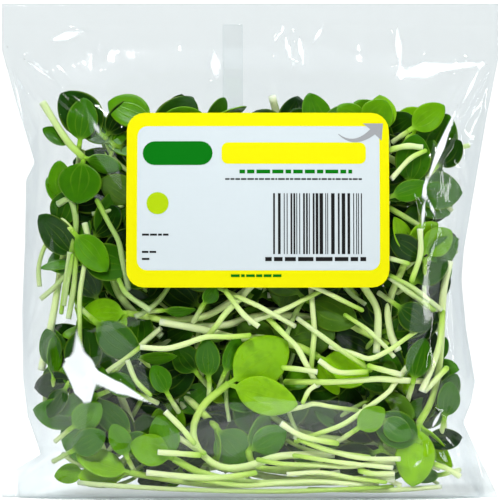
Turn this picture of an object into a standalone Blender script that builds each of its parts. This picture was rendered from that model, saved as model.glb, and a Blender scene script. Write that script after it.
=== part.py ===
"""A sealed clear bag of cut sunflower microgreens, standing on its folded base.

The bag's flat top seal runs along X, the label faces -Y, and Z is up. The origin is on the ground, under
the middle of the bag. Lengths in the tables and formulas are in millimetres, and MM turns them into metres
where a mesh or curve is made.
"""

import math

import bmesh
import bpy
import numpy as np
from mathutils import Vector

MM = 0.001

# The bag, from the ground up: (height, distance from the middle) of its two side edges.
# Both run out to the full flat width at the top seal and at the ears of the folded base.
LEFT_EDGE = ((0, 86), (7, 86), (15, 72.3), (28, 77), (42, 78.7), (64, 79), (86, 78.1), (110, 77.6),
             (116, 74.5), (137, 81), (155, 86), (171, 86))
RIGHT_EDGE = ((0, 86), (26, 73.8), (33, 76.6), (40, 78), (58, 74.9), (75, 73.3), (86, 74.1), (114, 78.9),
              (131, 81.8), (152, 86), (171, 86))
LEFT_WAIST, RIGHT_WAIST = 15, 26
EAR_FULLNESS = 0.6
BELLY = ((0, 19), (4, 22), (14, 24.6), (30, 25.6), (60, 26), (92, 24.5), (115, 19.5), (132, 12.8),
         (146, 6), (157, 1.8), (164, 0.7), (171, 0.7))
SEAL_BOTTOM = 164
BAG_HEIGHT = 171
CAVITY_BOTTOM = 0.9
MIDDLE_HEIGHTS = (3, 7, 15, 26, 40, 58, 75, 94, 113, 121, 132, 144, 155)
RING_STEPS, RING_REACH = 6, 0.985
EDGE_HALF = 0.6
WALL = 0.6
SECTION_POWER, SECTION_ROUND = 2.4, 0.6
LAP_SEAM_X, LAP_SEAM_WIDTH, LAP_SEAM_THICK, LAP_SEAM_SUNK = -6, 7, 0.4, 0.5
VENT_X, VENT_Z, VENT_RADIUS = 28, 60, 2.5

# The label on the front
LABEL_WIDTH, LABEL_HEIGHT, LABEL_CORNER, LABEL_THICK = 90, 60, 6, 0.4
LABEL_X, LABEL_Z, LABEL_GAP = 2.7, 102.9, 0.5

# A sprout
STEM_RADIUS_CUT, STEM_RADIUS_COLLAR = 1.3, 1.2
STEM_POINTS = 8
PETIOLE_SHARE, PETIOLE_HALF = 0.14, 0.85
BLADE_HALF_THICK, PETIOLE_EXTRA = 0.55, 0.2
BLADE_STATIONS = (-0.06, 0.15, 0.32, 0.52, 0.74, 0.92, 1.0)
LEAF_SAMPLE_RADIUS = 0.85
CLEARANCE = 0.5
FILM_CLEARANCE, LEAST_ROOM = 0.8, 0.3
LOWEST, HIGHEST = 1.9, 142
GUIDE_SHARE = 0.8
SEED = 11
SPROUTS_AT_THE_BACK = 13
MOST_TRIES = 400

# The sprouts that show through the front: the stem's points as (x, z) from its cut end up to the collar, then
# for each of the two leaves (heading, length, width, roll), with angles in degrees. The first lie foremost.
FRONT_SPROUTS = (
    (((29, 15.5), (10.5, 15), (-1, 11.4), (-10, 11.2), (-17, 16.4), (-19.5, 24.2), (-15.7, 32.8), (-7.5, 39.7)),
     ((36, 25, 17, 8), (-16, 25, 14, 28))),
    (((69.3, 82), (67.2, 73), (66.4, 64), (66, 53), (65, 43), (62.3, 33), (58.2, 26)),
     ((264, 22, 13.5, 10), (309, 20, 9, 50))),
    (((51, 12.6), (31, 12.3), (17, 10.8), (7, 10), (1, 12), (-0.5, 16.5)), ((68, 15, 9, 45), (30, 15, 10, 15))),
    (((-38, 47), (-28, 40), (-19, 32), (-11.5, 24.5)), ((-50, 16, 13, 5), (-88, 13, 9, 60))),
    (((32, 8.2), (17, 8.6), (-2, 11), (-17, 15), (-30, 17.6)), ((79, 16, 12, 0), (164, 13, 8.5, 30))),
    (((31, 9), (17, 6.6), (2, 5), (-13, 5), (-29, 7), (-41, 9)), ((166, 20, 11, 40), (185, 19, 9, 25))),
    (((34, 5), (17, 5.4), (0, 8), (-17, 12), (-31, 16)), ((207, 17, 9, 32), (150, 18, 13, -20))),
    (((-31, 61), (-17, 58.5), (-5, 55.5), (4, 55.5), (12.5, 53.7), (18, 52), (23.5, 48.9)),
     ((-24, 19, 13, -12), (-62, 15, 9, 55))),
    (((-72, 137), (-67, 129), (-62.5, 122.5), (-57.5, 117.5)), ((262, 16, 15, 4), (-8, 14, 8, 45))),
    (((8, 83), (0, 73), (-9.6, 66), (-17, 62.5), (-27.4, 61.5), (-37.6, 63.2), (-42, 64)),
     ((180, 16, 9.5, 12), (238, 14, 9, 45))),
    (((-30.4, 56), (-39, 63), (-45, 70), (-47.5, 76), (-50, 82)), ((116, 16, 10, 14), (57, 14, 9, 30))),
    (((-38.6, 48.7), (-31, 53), (-17.4, 56.4), (-3, 59), (16, 59.4), (30, 59.2), (33.4, 62.4), (32.7, 68)),
     ((60, 15, 10, 30), (125, 15, 10, 40))),
    (((-19.5, 59.6), (-9, 59.7), (3.3, 62.9), (22, 62.4), (38, 58), (52, 50)), ((-22, 15, 10, 20), (-80, 15, 10, 35))),
    (((6, 69.7), (13.7, 69.4), (20.7, 66.4), (29, 55.4), (36, 46), (43, 35)),
     ((-55, 14, 9, 30), (5, 14, 9, 60))),
    (((43.4, 50.3), (44, 58.4), (43.6, 65.6), (39.3, 72.8), (34, 80)), ((120, 16, 11, 20), (60, 15, 10, 40))),
    (((51, 51), (48.6, 56.4), (47.5, 64), (48.6, 70), (52.3, 78.7), (54.5, 84)), ((50, 15, 10, 20), (112, 14, 9, 50))),
    (((56, 36), (53, 47), (50, 57.4), (46, 68), (41, 79)), ((128, 15, 10, 25), (70, 15, 10, 50))),
    (((41.4, 43), (50, 42), (56.5, 46), (59, 54), (57.5, 62), (51, 70), (44, 78), (36, 85)),
     ((110, 13, 10, 20), (165, 13, 9, 40))),
    (((16, 42), (26, 40.5), (37, 36.5), (45, 31), (49, 25), (49.5, 20)), ((-50, 14, 9, 40), (-112, 13, 9, 30))),
    (((51.8, 19.2), (38.2, 19.8), (21.8, 21.5), (11, 26), (4, 31)), ((160, 15, 10, 30), (95, 15, 10, 20))),
    (((43.6, 14.3), (27.3, 17), (15.3, 21.5), (4, 27), (-4, 34)), ((150, 14, 11, 20), (95, 13, 8, 40))),
    (((49, 11.3), (27.3, 10.3), (8.2, 12.3), (-8, 14.5), (-22, 20)), ((130, 15, 11, 20), (190, 14, 9, 40))),
    (((49.6, 7), (38, 7), (20, 6), (0, 6), (-16, 9), (-26, 14)), ((160, 16, 11, 20), (110, 16, 11, -20))),
    (((66, 10), (58, 12.7), (46, 18), (35, 25)), ((150, 15, 10, 25), (95, 14, 10, 30))),
    (((-72.5, 44), (-68.6, 61.2), (-66.3, 74.9), (-64.3, 85.8), (-63, 99)), ((75, 15, 10, 25), (125, 14, 9, 50))),
    (((-33, 42), (-39, 54), (-46, 68), (-52, 79)), ((172, 15, 9, 62), (104, 14, 10, 10))),
    (((-41, 26), (-45, 36), (-49, 46), (-52, 56)), ((178, 13, 9, 60), (128, 13, 10, 40))),
    (((-57.8, 25.3), (-55, 35), (-54.5, 45), (-57, 55.7), (-60, 66)), ((60, 15, 10, 20), (105, 15, 10, 50))),
    (((-40, 76), (-42, 90), (-43.5, 103), (-46, 114)), ((84, 15, 9, 30), (120, 13, 8, 60))),
    (((-20, 86), (-24, 99), (-27, 113), (-29, 123), (-32.5, 130.5)), ((160, 18, 11, 5), (5, 17, 9, 25))),
    (((8, 92), (1, 106), (-8, 119), (-15, 129.5)), ((28, 15, 9, 70), (60, 11, 8, 50))),
    (((38, 92), (36, 108), (38, 119), (40, 127)), ((140, 13, 9, 10), (55, 12.5, 11, 5))),
    (((27, 121), (37, 120.5), (47, 118), (54, 113.5), (58, 109)), ((-45, 16, 13, 0), (200, 14, 9, 20))),
    (((44, 92), (48, 104), (52, 115), (55, 125)), ((20, 13, 10, 10), (-42, 15, 10, 12))),
    (((68, 84), (59, 90), (47.5, 96), (34, 101), (22, 104)), ((150, 15, 10, 20), (95, 14, 10, 30))),
)


def at_height(table, z):
    """The value of a (height, value) table at height z, in straight runs between its points."""
    heights, values = zip(*table)
    return np.interp(z, heights, values)


def side_edge(x, z):
    """How far out the film's folded edge is, on the side of the bag where x lies."""
    return np.where(x < 0, at_height(LEFT_EDGE, z), at_height(RIGHT_EDGE, z))


def belly_edge(x, z):
    """How far out the full part of the bag reaches. Below the waist the rest is a flat ear."""
    waist = np.where(x < 0, LEFT_WAIST, RIGHT_WAIST)
    at_waist = side_edge(x, waist)
    out = side_edge(x, z)
    return np.where(z < waist, at_waist + EAR_FULLNESS * (out - at_waist), out)


def half_depth(x, z, inset=0.0):
    """Half the bag's thickness at (x, z), or half its inside's where inset is the wall."""
    across = np.abs(x) / (belly_edge(x, z) - 2 * inset)
    section = np.clip(1 - across**SECTION_POWER, 0, 1) ** SECTION_ROUND
    return EDGE_HALF - inset + (at_height(BELLY, z) - EDGE_HALF) * section


def new_object(name, mesh, collection):
    shape = bpy.data.objects.new(name, mesh)
    collection.objects.link(shape)
    return shape


def loft(rings):
    """A tube of quads through rings of points in millimetres, and its rings of vertices."""
    mesh = bmesh.new()
    grid = [[mesh.verts.new(Vector(point) * MM) for point in ring] for ring in rings]
    for low, high in zip(grid, grid[1:]):
        for i in range(len(low)):
            j = (i + 1) % len(low)
            mesh.faces.new((low[i], low[j], high[j], high[i]))
    return mesh, grid


def cap_ring(mesh, ring, upward):
    """Fills a ring whose second half runs back under its first, in quads from one side to the other."""
    half = len(ring) // 2
    back = ring[:half - 1:-1]
    for i in range(half - 1):
        face = (ring[i], ring[i + 1], back[i + 1], back[i])
        mesh.faces.new(face if upward else face[::-1])


def finish_mesh(mesh, name):
    bmesh.ops.recalc_face_normals(mesh, faces=mesh.faces)
    data = bpy.data.meshes.new(name)
    mesh.to_mesh(data)
    mesh.free()
    return data


def bag_ring(z, inset=0.0):
    """The bag's outline at height z, front from left to right and then back from right to left."""
    turns = np.linspace(-1, 1, 2 * RING_STEPS + 1) * math.pi / 2
    reach = belly_edge(np.sin(turns), z) - 2 * inset
    xs = RING_REACH * reach * np.sin(turns)
    if not inset:
        xs = np.concatenate([[-at_height(LEFT_EDGE, z)], xs, [at_height(RIGHT_EDGE, z)]])
    depth = half_depth(xs, z, inset)
    front = [(x, -d, z) for x, d in zip(xs, depth)]
    back = [(x, d, z) for x, d in zip(xs[::-1], depth[::-1])]
    return front + back


def bag_solid(name, heights, collection, inset=0.0):
    """A closed loft of bag outlines, one at each height."""
    mesh, grid = loft([bag_ring(z, inset) for z in heights])
    cap_ring(mesh, grid[0], upward=False)
    cap_ring(mesh, grid[-1], upward=True)
    return new_object(name, finish_mesh(mesh, name), collection)


def lap_seam(collection):
    """The seam up the middle of the back, where the film's two edges lap."""
    name = "lap_seam"
    half = LAP_SEAM_WIDTH / 2
    rows = []
    for z in (*MIDDLE_HEIGHTS[1:], SEAL_BOTTOM):
        xs = np.array([LAP_SEAM_X - half, LAP_SEAM_X + half])
        depth = half_depth(xs, z)
        inner = [(x, d - min(LAP_SEAM_SUNK, d / 2), z) for x, d in zip(xs, depth)]
        outer = [(x, d + LAP_SEAM_THICK, z) for x, d in zip(xs, depth)]
        rows.append(inner + outer[::-1])
    mesh, grid = loft(rows)
    mesh.faces.new(grid[0])
    mesh.faces.new(grid[-1])
    return new_object(name, finish_mesh(mesh, name), collection)


def boolean(shape, other, operation):
    cut = shape.modifiers.new(operation.lower(), "BOOLEAN")
    cut.operation = operation
    cut.solver = "EXACT"
    cut.object = other


def film_bag(parts, helpers, material):
    """The film: one closed wall round the greens, with a breathing hole low in its back."""
    bag = bag_solid("film_bag", (0, *MIDDLE_HEIGHTS, SEAL_BOTTOM, BAG_HEIGHT), parts)
    cavity = bag_solid("cavity", (CAVITY_BOTTOM, *MIDDLE_HEIGHTS), helpers, inset=WALL)
    seam = lap_seam(helpers)
    bpy.ops.mesh.primitive_cylinder_add(
        vertices=16, radius=VENT_RADIUS * MM, depth=20 * MM, rotation=(math.pi / 2, 0, 0),
        location=(VENT_X * MM, half_depth(np.float64(VENT_X), VENT_Z) * MM, VENT_Z * MM))
    vent = bpy.context.object
    vent.name = "vent_cutter"
    for other in list(vent.users_collection):
        other.objects.unlink(vent)
    helpers.objects.link(vent)
    boolean(bag, seam, "UNION")
    boolean(bag, cavity, "DIFFERENCE")
    boolean(bag, vent, "DIFFERENCE")
    bag.data.materials.append(material)


def label(parts, material):
    """The stuck-on label, a thin card with round corners that follows the front of the bag."""
    half, corner = LABEL_WIDTH / 2, LABEL_CORNER
    steps = np.array([0, 0.15, 0.5, 1]) * corner
    inner = np.linspace(-(half - corner), half - corner, 7)[1:-1]
    xs = np.concatenate([-half + steps, inner, (half - steps)[::-1]])
    past = np.clip(np.abs(xs) - (half - corner), 0, corner)
    reach = LABEL_HEIGHT / 2 - corner + np.sqrt(corner**2 - past**2)
    rows = []
    for share in np.linspace(-1, 1, 7):
        zs = LABEL_Z + share * reach
        inner_y = -half_depth(xs + LABEL_X, zs) - LABEL_GAP
        front = [(x + LABEL_X, y - LABEL_THICK, z) for x, y, z in zip(xs, inner_y, zs)]
        behind = [(x + LABEL_X, y, z) for x, y, z in zip(xs, inner_y, zs)]
        rows.append(front + behind[::-1])
    mesh, grid = loft(rows)
    cap_ring(mesh, grid[0], upward=False)
    cap_ring(mesh, grid[-1], upward=True)
    card = new_object("label", finish_mesh(mesh, "label"), parts)
    card.data.materials.append(material)


def smooth_path(points, count):
    """count points evenly spaced along a smooth curve through the given ones (Catmull-Rom)."""
    points = np.asarray(points, float)
    ends = np.vstack([2 * points[0] - points[1], points, 2 * points[-1] - points[-2]])
    t = np.linspace(0, 1, 12, endpoint=False)[:, None]
    dense = []
    for a, b, c, d in zip(ends, ends[1:], ends[2:], ends[3:]):
        dense.append(0.5 * (2 * b + (c - a) * t + (2 * a - 5 * b + 4 * c - d) * t**2 + (3 * b - a - 3 * c + d) * t**3))
    dense = np.vstack([*dense, points[-1:]])
    along = np.concatenate([[0], np.cumsum(np.linalg.norm(np.diff(dense, axis=0), axis=1))])
    wanted = np.linspace(0, along[-1], count)
    return np.stack([np.interp(wanted, along, column) for column in dense.T], axis=1)


def leaf_half_width(u, width):
    """Half a leaf's width at share u of its length: a narrow petiole that opens into a round-ended blade."""
    blade = np.clip((u - PETIOLE_SHARE) / (1 - PETIOLE_SHARE), 0, 1)
    swell = np.sin(math.pi * blade**0.9) ** 0.62
    return PETIOLE_HALF * (1 - 0.75 * blade) + (width / 2 - 0.25 * PETIOLE_HALF) * np.nan_to_num(swell)


class Sprout:
    """One cut sprout. Its shape is held as (x, depth behind the film, z), and it is then slid back into the bag."""

    def __init__(self, stem, leaves, facing):
        self.stem = stem
        self.leaves = leaves
        self.facing = facing
        self.back = 0.0

    def placed(self, points):
        """Points in the bag: depth is counted from a surface that follows the film the sprout lies against."""
        x, depth, z = points[..., 0], points[..., 1], points[..., 2]
        film = -GUIDE_SHARE * half_depth(x, z)
        return np.stack([x, self.facing * (film + depth + self.back), z], axis=-1)

    def stem_points(self, count):
        return self.placed(smooth_path(self.stem, count))

    def leaf_point(self, leaf, u, v):
        """The point at share u along a leaf's middle surface and v across it, from -1 to 1."""
        heading, length, width, roll, pitch, curl = leaf
        h, r, p = math.radians(heading), math.radians(roll), math.radians(pitch)
        forward = np.array([math.cos(h) * math.cos(p), math.sin(p), math.sin(h) * math.cos(p)])
        across = np.array([-math.sin(h), 0, math.cos(h)])
        inward = np.cross(forward, across)
        side = across * math.cos(r) + inward * math.sin(r)
        face = np.cross(forward, side)
        half = leaf_half_width(u, width)
        cupped = curl * u**2 + 1.1 * (v**2) * np.sin(math.pi * np.clip(u, 0, 1))
        point = (self.stem[-1] + forward * (u * length)[..., None]
                 + side * (v * half)[..., None] + face * cupped[..., None])
        return self.placed(point)

    def samples(self):
        """Points all over the sprout, each with the radius of the ball that it stands for."""
        stem = self.stem_points(40)
        blades = []
        u, v = np.meshgrid(np.linspace(0.04, 1, 12), np.linspace(-1, 1, 7), indexing="ij")
        for leaf in self.leaves:
            blades.append(self.leaf_point(leaf, u, v).reshape(-1, 3))
        blades = np.vstack(blades)
        radii = np.concatenate([np.full(len(stem), STEM_RADIUS_CUT), np.full(len(blades), LEAF_SAMPLE_RADIUS)])
        return np.vstack([stem, blades]), radii


def room_in_bag(sprout, points, radii):
    """The least and the most that the sprout can be slid back and still be inside the film."""
    x, y, z = points.T
    wall = half_depth(x, z, WALL) - radii - FILM_CLEARANCE
    depth = y * sprout.facing
    low, high = np.max(-wall - depth), np.min(wall - depth)
    upright = (z - radii).min() > LOWEST and (z + radii).max() < HIGHEST
    inside = upright and wall.min() > LEAST_ROOM
    return (low, high) if inside else (1.0, 0.0)


def first_free(sprout, points, radii, laid, laid_radii, low, high):
    """The least slide from low to high that keeps the sprout clear of all those laid already, or None."""
    if not len(laid):
        return low
    reach = radii[:, None] + laid_radii[None, :] + CLEARANCE
    gap2 = (points[:, None, 0] - laid[None, :, 0]) ** 2 + (points[:, None, 2] - laid[None, :, 2]) ** 2
    rows, columns = np.nonzero(gap2 < reach**2)
    if not len(rows):
        return low
    half = np.sqrt(reach[rows, columns] ** 2 - gap2[rows, columns])
    middle = (laid[columns, 1] - points[rows, 1]) * sprout.facing
    starts, ends = middle - half, middle + half
    order = np.argsort(starts)
    at = low
    for start, end in zip(starts[order], ends[order]):
        if start > at:
            break
        at = max(at, end)
    return at if at <= high else None


def slide_in(sprout, laid, laid_radii):
    """Slides the sprout back to its first free place. False if the bag has none there."""
    points, radii = sprout.samples()
    low, high = room_in_bag(sprout, points, radii)
    if low > high:
        return False
    at = first_free(sprout, points, radii, laid, laid_radii, low, high)
    if at is None:
        return False
    sprout.back = at
    return True


def leaf_with_lean(leaf, rng):
    """A leaf with a small lean and curl of its own, drawn at random."""
    return (*leaf, rng.uniform(-8, 14), rng.uniform(-0.5, 2.5))


def front_sprout(row, rng):
    points, leaves = row
    bow = rng.uniform(0.5, 3.0)
    share = np.linspace(0, 1, len(points))
    stem = [(x, bow * math.sin(math.pi * s), z) for (x, z), s in zip(points, share)]
    return Sprout(np.array(stem), [leaf_with_lean(leaf, rng) for leaf in leaves], facing=1)


def random_sprout(rng, facing):
    """A sprout of usual size, lying at random: its stem is a gentle arc that ends at its collar."""
    length, steps = rng.uniform(45, 82), 5
    collar = np.array([rng.uniform(-66, 66), rng.uniform(8, 132)])
    heading, bend = rng.uniform(0, 2 * math.pi), rng.normal(0, 0.22)
    dive, wave = rng.uniform(-3, 8), rng.uniform(0, 4)
    points = [(collar[0], 0.0, collar[1])]
    spot, turned = collar.copy(), heading
    for i in range(1, steps + 1):
        turned += bend
        spot = spot - (length / steps) * np.array([math.cos(turned), math.sin(turned)])
        points.append((spot[0], dive * i / steps + wave * math.sin(math.pi * i / steps), spot[1]))
    ahead, spread = math.degrees(heading), rng.uniform(35, 75)
    leaves = []
    for side in (-1, 1):
        size = rng.uniform(14, 20)
        leaf = (ahead + side * spread, size, size * rng.uniform(0.55, 0.72), rng.uniform(-45, 45))
        leaves.append(leaf_with_lean(leaf, rng))
    return Sprout(np.array(points[::-1]), leaves, facing)


def lay_sprouts():
    """All the sprouts: those that show in front, and then those against the back of the bag."""
    rng = np.random.default_rng(SEED)
    laid, laid_radii, sprouts = np.empty((0, 3)), np.empty(0), []
    waiting = [front_sprout(row, rng) for row in FRONT_SPROUTS]
    tries = 0
    while waiting or (len(sprouts) < len(FRONT_SPROUTS) + SPROUTS_AT_THE_BACK and tries < MOST_TRIES):
        from_table = bool(waiting)
        sprout = waiting.pop(0) if from_table else random_sprout(rng, facing=-1)
        tries += not from_table
        if not slide_in(sprout, laid, laid_radii):
            if from_table:
                print("no room for front sprout", len(FRONT_SPROUTS) - len(waiting))
            continue
        points, radii = sprout.samples()
        laid = np.vstack([laid, points])
        laid_radii = np.concatenate([laid_radii, radii])
        sprouts.append(sprout)
    return sprouts


def stem_mesh(sprout, name):
    """The stem as a six-sided tube that narrows a little from the cut end to the collar."""
    points = sprout.stem_points(STEM_POINTS)
    end = points[-1] + 0.7 * (points[-1] - points[-2]) / np.linalg.norm(points[-1] - points[-2])
    points = np.vstack([points[:-1], end])
    curve = bpy.data.curves.new(name, "CURVE")
    curve.dimensions = "3D"
    curve.bevel_depth = MM
    curve.bevel_resolution = 1
    curve.use_fill_caps = True
    line = curve.splines.new("POLY")
    line.points.add(len(points) - 1)
    radii = np.linspace(STEM_RADIUS_CUT, STEM_RADIUS_COLLAR, len(points))
    for spot, point, radius in zip(line.points, points, radii):
        spot.co = (*(point * MM), 1)
        spot.radius = radius
    tube = bpy.data.objects.new(name + "_curve", curve)
    bpy.context.scene.collection.objects.link(tube)
    graph = bpy.context.evaluated_depsgraph_get()
    data = bpy.data.meshes.new_from_object(tube.evaluated_get(graph))
    bpy.data.objects.remove(tube)
    mesh = bmesh.new()
    mesh.from_mesh(data)
    bmesh.ops.remove_doubles(mesh, verts=mesh.verts, dist=1e-6)
    bpy.data.meshes.remove(data)
    return finish_mesh(mesh, name)


def leaf_mesh(sprout, leaf, name):
    """A fleshy leaf: a loft of four-cornered sections, thick along its middle and thin at its rim."""
    us = np.array(BLADE_STATIONS)
    thick = BLADE_HALF_THICK + PETIOLE_EXTRA * np.clip(1 - us / 0.3, 0, 1)
    rows = []
    for u, half in zip(us, thick):
        left, middle, right = sprout.leaf_point(leaf, np.full(3, u), np.array([-1, 0, 1]))
        ahead = sprout.leaf_point(leaf, np.array([u + 0.02]), np.array([0]))[0] - middle
        normal = np.cross(ahead, right - left)
        normal *= half / np.linalg.norm(normal)
        rows.append([left, middle + normal, right, middle - normal])
    mesh, grid = loft(rows)
    mesh.faces.new(grid[0])
    mesh.faces.new(grid[-1])
    return finish_mesh(mesh, name)


def keep_outer_skin(data):
    """Drops the skin of any small hollow that the fused petioles close off, which fills it."""
    mesh = bmesh.new()
    mesh.from_mesh(data)
    unseen, skins = set(mesh.verts), []
    while unseen:
        skin, edge = set(), [unseen.pop()]
        while edge:
            vert = edge.pop()
            skin.add(vert)
            near = {link.other_vert(vert) for link in vert.link_edges} & unseen
            unseen -= near
            edge.extend(near)
        skins.append(skin)
    outer = max(skins, key=len)
    inner = [vert for skin in skins if skin is not outer for vert in skin]
    bmesh.ops.delete(mesh, geom=inner, context="VERTS")
    mesh.to_mesh(data)
    mesh.free()


def build_sprout(sprout, name, parts, material):
    """One sprout as a single solid: its two leaves are fused to the end of its stem."""
    stem = new_object(name, stem_mesh(sprout, name), parts)
    blades = bpy.data.collections.new(name + "_leaves")
    bpy.context.scene.collection.children.link(blades)
    for number, leaf in enumerate(sprout.leaves):
        new_object(f"{name}_leaf_{number}", leaf_mesh(sprout, leaf, f"{name}_leaf_{number}"), blades)
    join = stem.modifiers.new("leaves", "BOOLEAN")
    join.operation = "UNION"
    join.operand_type = "COLLECTION"
    join.collection = blades
    join.solver = "MANIFOLD"
    graph = bpy.context.evaluated_depsgraph_get()
    whole = bpy.data.meshes.new_from_object(stem.evaluated_get(graph))
    keep_outer_skin(whole)
    stem.modifiers.clear()
    stem.data = whole
    for leaf in list(blades.objects):
        bpy.data.objects.remove(leaf)
    bpy.data.collections.remove(blades)
    whole.materials.clear()
    whole.materials.append(material)
    whole.set_sharp_from_angle(angle=math.radians(50))


def new_material(name, colour, roughness, alpha=1.0):
    material = bpy.data.materials.new(name)
    material.use_nodes = True
    surface = material.node_tree.nodes["Principled BSDF"]
    surface.inputs["Base Color"].default_value = (*colour, 1)
    surface.inputs["Roughness"].default_value = roughness
    surface.inputs["Metallic"].default_value = 0.0
    surface.inputs["Alpha"].default_value = alpha
    return material


def clear_scene():
    for shape in list(bpy.data.objects):
        bpy.data.objects.remove(shape, do_unlink=True)


def main():
    clear_scene()
    parts = bpy.data.collections.new("microgreens_bag")
    helpers = bpy.data.collections.new("cutters")
    for collection in (parts, helpers):
        bpy.context.scene.collection.children.link(collection)
    film = new_material("clear_film", (0.80, 0.88, 0.89), 0.12, alpha=0.25)
    paper = new_material("label_paper", (0.97, 0.95, 0.06), 0.45)
    green = new_material("sprout_green", (0.16, 0.36, 0.03), 0.5)
    film_bag(parts, helpers, film)
    label(parts, paper)
    for number, sprout in enumerate(lay_sprouts(), 1):
        build_sprout(sprout, f"sprout_{number:02d}", parts, green)
    for helper in helpers.objects:
        helper.hide_render = True
        helper.display_type = "WIRE"


if __name__ == "__main__":
    main()
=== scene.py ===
"""The looks of a sealed clear bag of cut sunflower microgreens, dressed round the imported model.

The bag's tables, the sprouts and the rule that lays them repeat those of the model, so that every sprout lies
where its solid does. Here they are finer, and more of them fill the bag by the same rule. Lengths are in
millimetres, and MM turns them into metres where a mesh is made. The label faces -Y, and Z is up.
"""
import math

import bpy
import numpy as np
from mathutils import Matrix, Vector


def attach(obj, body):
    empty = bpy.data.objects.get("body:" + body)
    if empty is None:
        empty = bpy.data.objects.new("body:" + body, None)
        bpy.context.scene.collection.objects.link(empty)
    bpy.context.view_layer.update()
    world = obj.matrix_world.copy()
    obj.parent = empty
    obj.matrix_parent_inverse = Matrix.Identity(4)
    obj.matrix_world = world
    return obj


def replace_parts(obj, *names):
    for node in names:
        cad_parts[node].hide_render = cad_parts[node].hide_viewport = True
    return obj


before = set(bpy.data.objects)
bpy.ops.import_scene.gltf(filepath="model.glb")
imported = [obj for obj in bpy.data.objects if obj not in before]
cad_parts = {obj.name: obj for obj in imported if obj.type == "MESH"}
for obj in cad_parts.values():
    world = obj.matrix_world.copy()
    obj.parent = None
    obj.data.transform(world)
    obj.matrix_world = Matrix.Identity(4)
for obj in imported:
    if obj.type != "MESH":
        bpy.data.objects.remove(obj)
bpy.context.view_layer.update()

MM = 0.001

# The bag, from the ground up: (height, distance from the middle) of its two side edges.
# Both run out to the full flat width at the top seal and at the ears of the folded base.
LEFT_EDGE = ((0, 86), (7, 86), (15, 72.3), (28, 77), (42, 78.7), (64, 79), (86, 78.1), (110, 77.6),
             (116, 74.5), (137, 81), (155, 86), (171, 86))
RIGHT_EDGE = ((0, 86), (26, 73.8), (33, 76.6), (40, 78), (58, 74.9), (75, 73.3), (86, 74.1), (114, 78.9),
              (131, 81.8), (152, 86), (171, 86))
LEFT_WAIST, RIGHT_WAIST = 15, 26
EAR_FULLNESS = 0.6
BELLY = ((0, 19), (4, 22), (14, 24.6), (30, 25.6), (60, 26), (92, 24.5), (115, 19.5), (132, 12.8),
         (146, 6), (157, 1.8), (164, 0.7), (171, 0.7))
SEAL_BOTTOM = 164
BAG_HEIGHT = 171
EDGE_HALF, WALL = 0.6, 0.6
SECTION_POWER, SECTION_ROUND = 2.4, 0.6
LAP_SEAM_X, LAP_SEAM_WIDTH, LAP_SEAM_THICK, LAP_SEAM_FOOT = -6, 7, 0.4, 9

# The label on the front
LABEL_WIDTH, LABEL_HEIGHT, LABEL_CORNER, LABEL_THICK = 90, 60, 6, 0.4
LABEL_X, LABEL_Z, LABEL_GAP = 2.7, 102.9, 0.5
# Its print, in millimetres from its middle: blocks as place, size, corner, look and how finely they are cut,
# then lines of small blocks as left, right, bottom and top
PANEL_TOP, PRINT_TOP, PRINT_STEP = 0.05, 0.1, 3
PRINTED_BLOCKS = (
    ("label_title_bar", (12.3, 16), (49.5, 7.4), 2.2, "label_yellow", (5, 24)),
    ("label_corner_block", (-27.5, 16), (24, 8.2), 4.1, "print_green", (6, 14)),
    ("label_dot", (-34.3, -1.2), (7.6, 7.6), 3.7, "print_lime", (8, 6)),
)
GREEN_LINE, BOTTOM_LINE = (-6.3, 32.3, 9.0, 10.3), (-9.2, 9.0, -26.4, -25.5)
SMALL_LINES = ((-11.2, 36, 6.8, 7.35), (-39.6, -30.5, -12.3, -11.6), (-39.6, -34, -18.2, -17.5),
               (-39.6, -36, -20.6, -19.9))
BAR_BLOCK, BAR_LINE = (5.2, 35.6, -18.6, 2.2), (2.5, 37, -21.0, -19.6)
BAR_UNIT, PRINT_SEED = 0.33, 3

# A sprout
STEM_RADIUS_CUT, STEM_RADIUS_COLLAR = 1.3, 1.2
PETIOLE_SHARE, PETIOLE_HALF = 0.14, 0.85
BLADE_HALF_THICK, PETIOLE_EXTRA = 0.55, 0.2
LEAF_SAMPLE_RADIUS = 0.85
CUP = 1.1
CLEARANCE, VIEW_MARGIN = 0.5, 5
FILM_CLEARANCE, LEAST_ROOM = 0.8, 0.3
LOWEST, HIGHEST = 1.9, 142
GUIDE_SHARE = 0.8
SEED = 11
SPROUTS_AT_THE_BACK = 13
MOST_TRIES = 400

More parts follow.
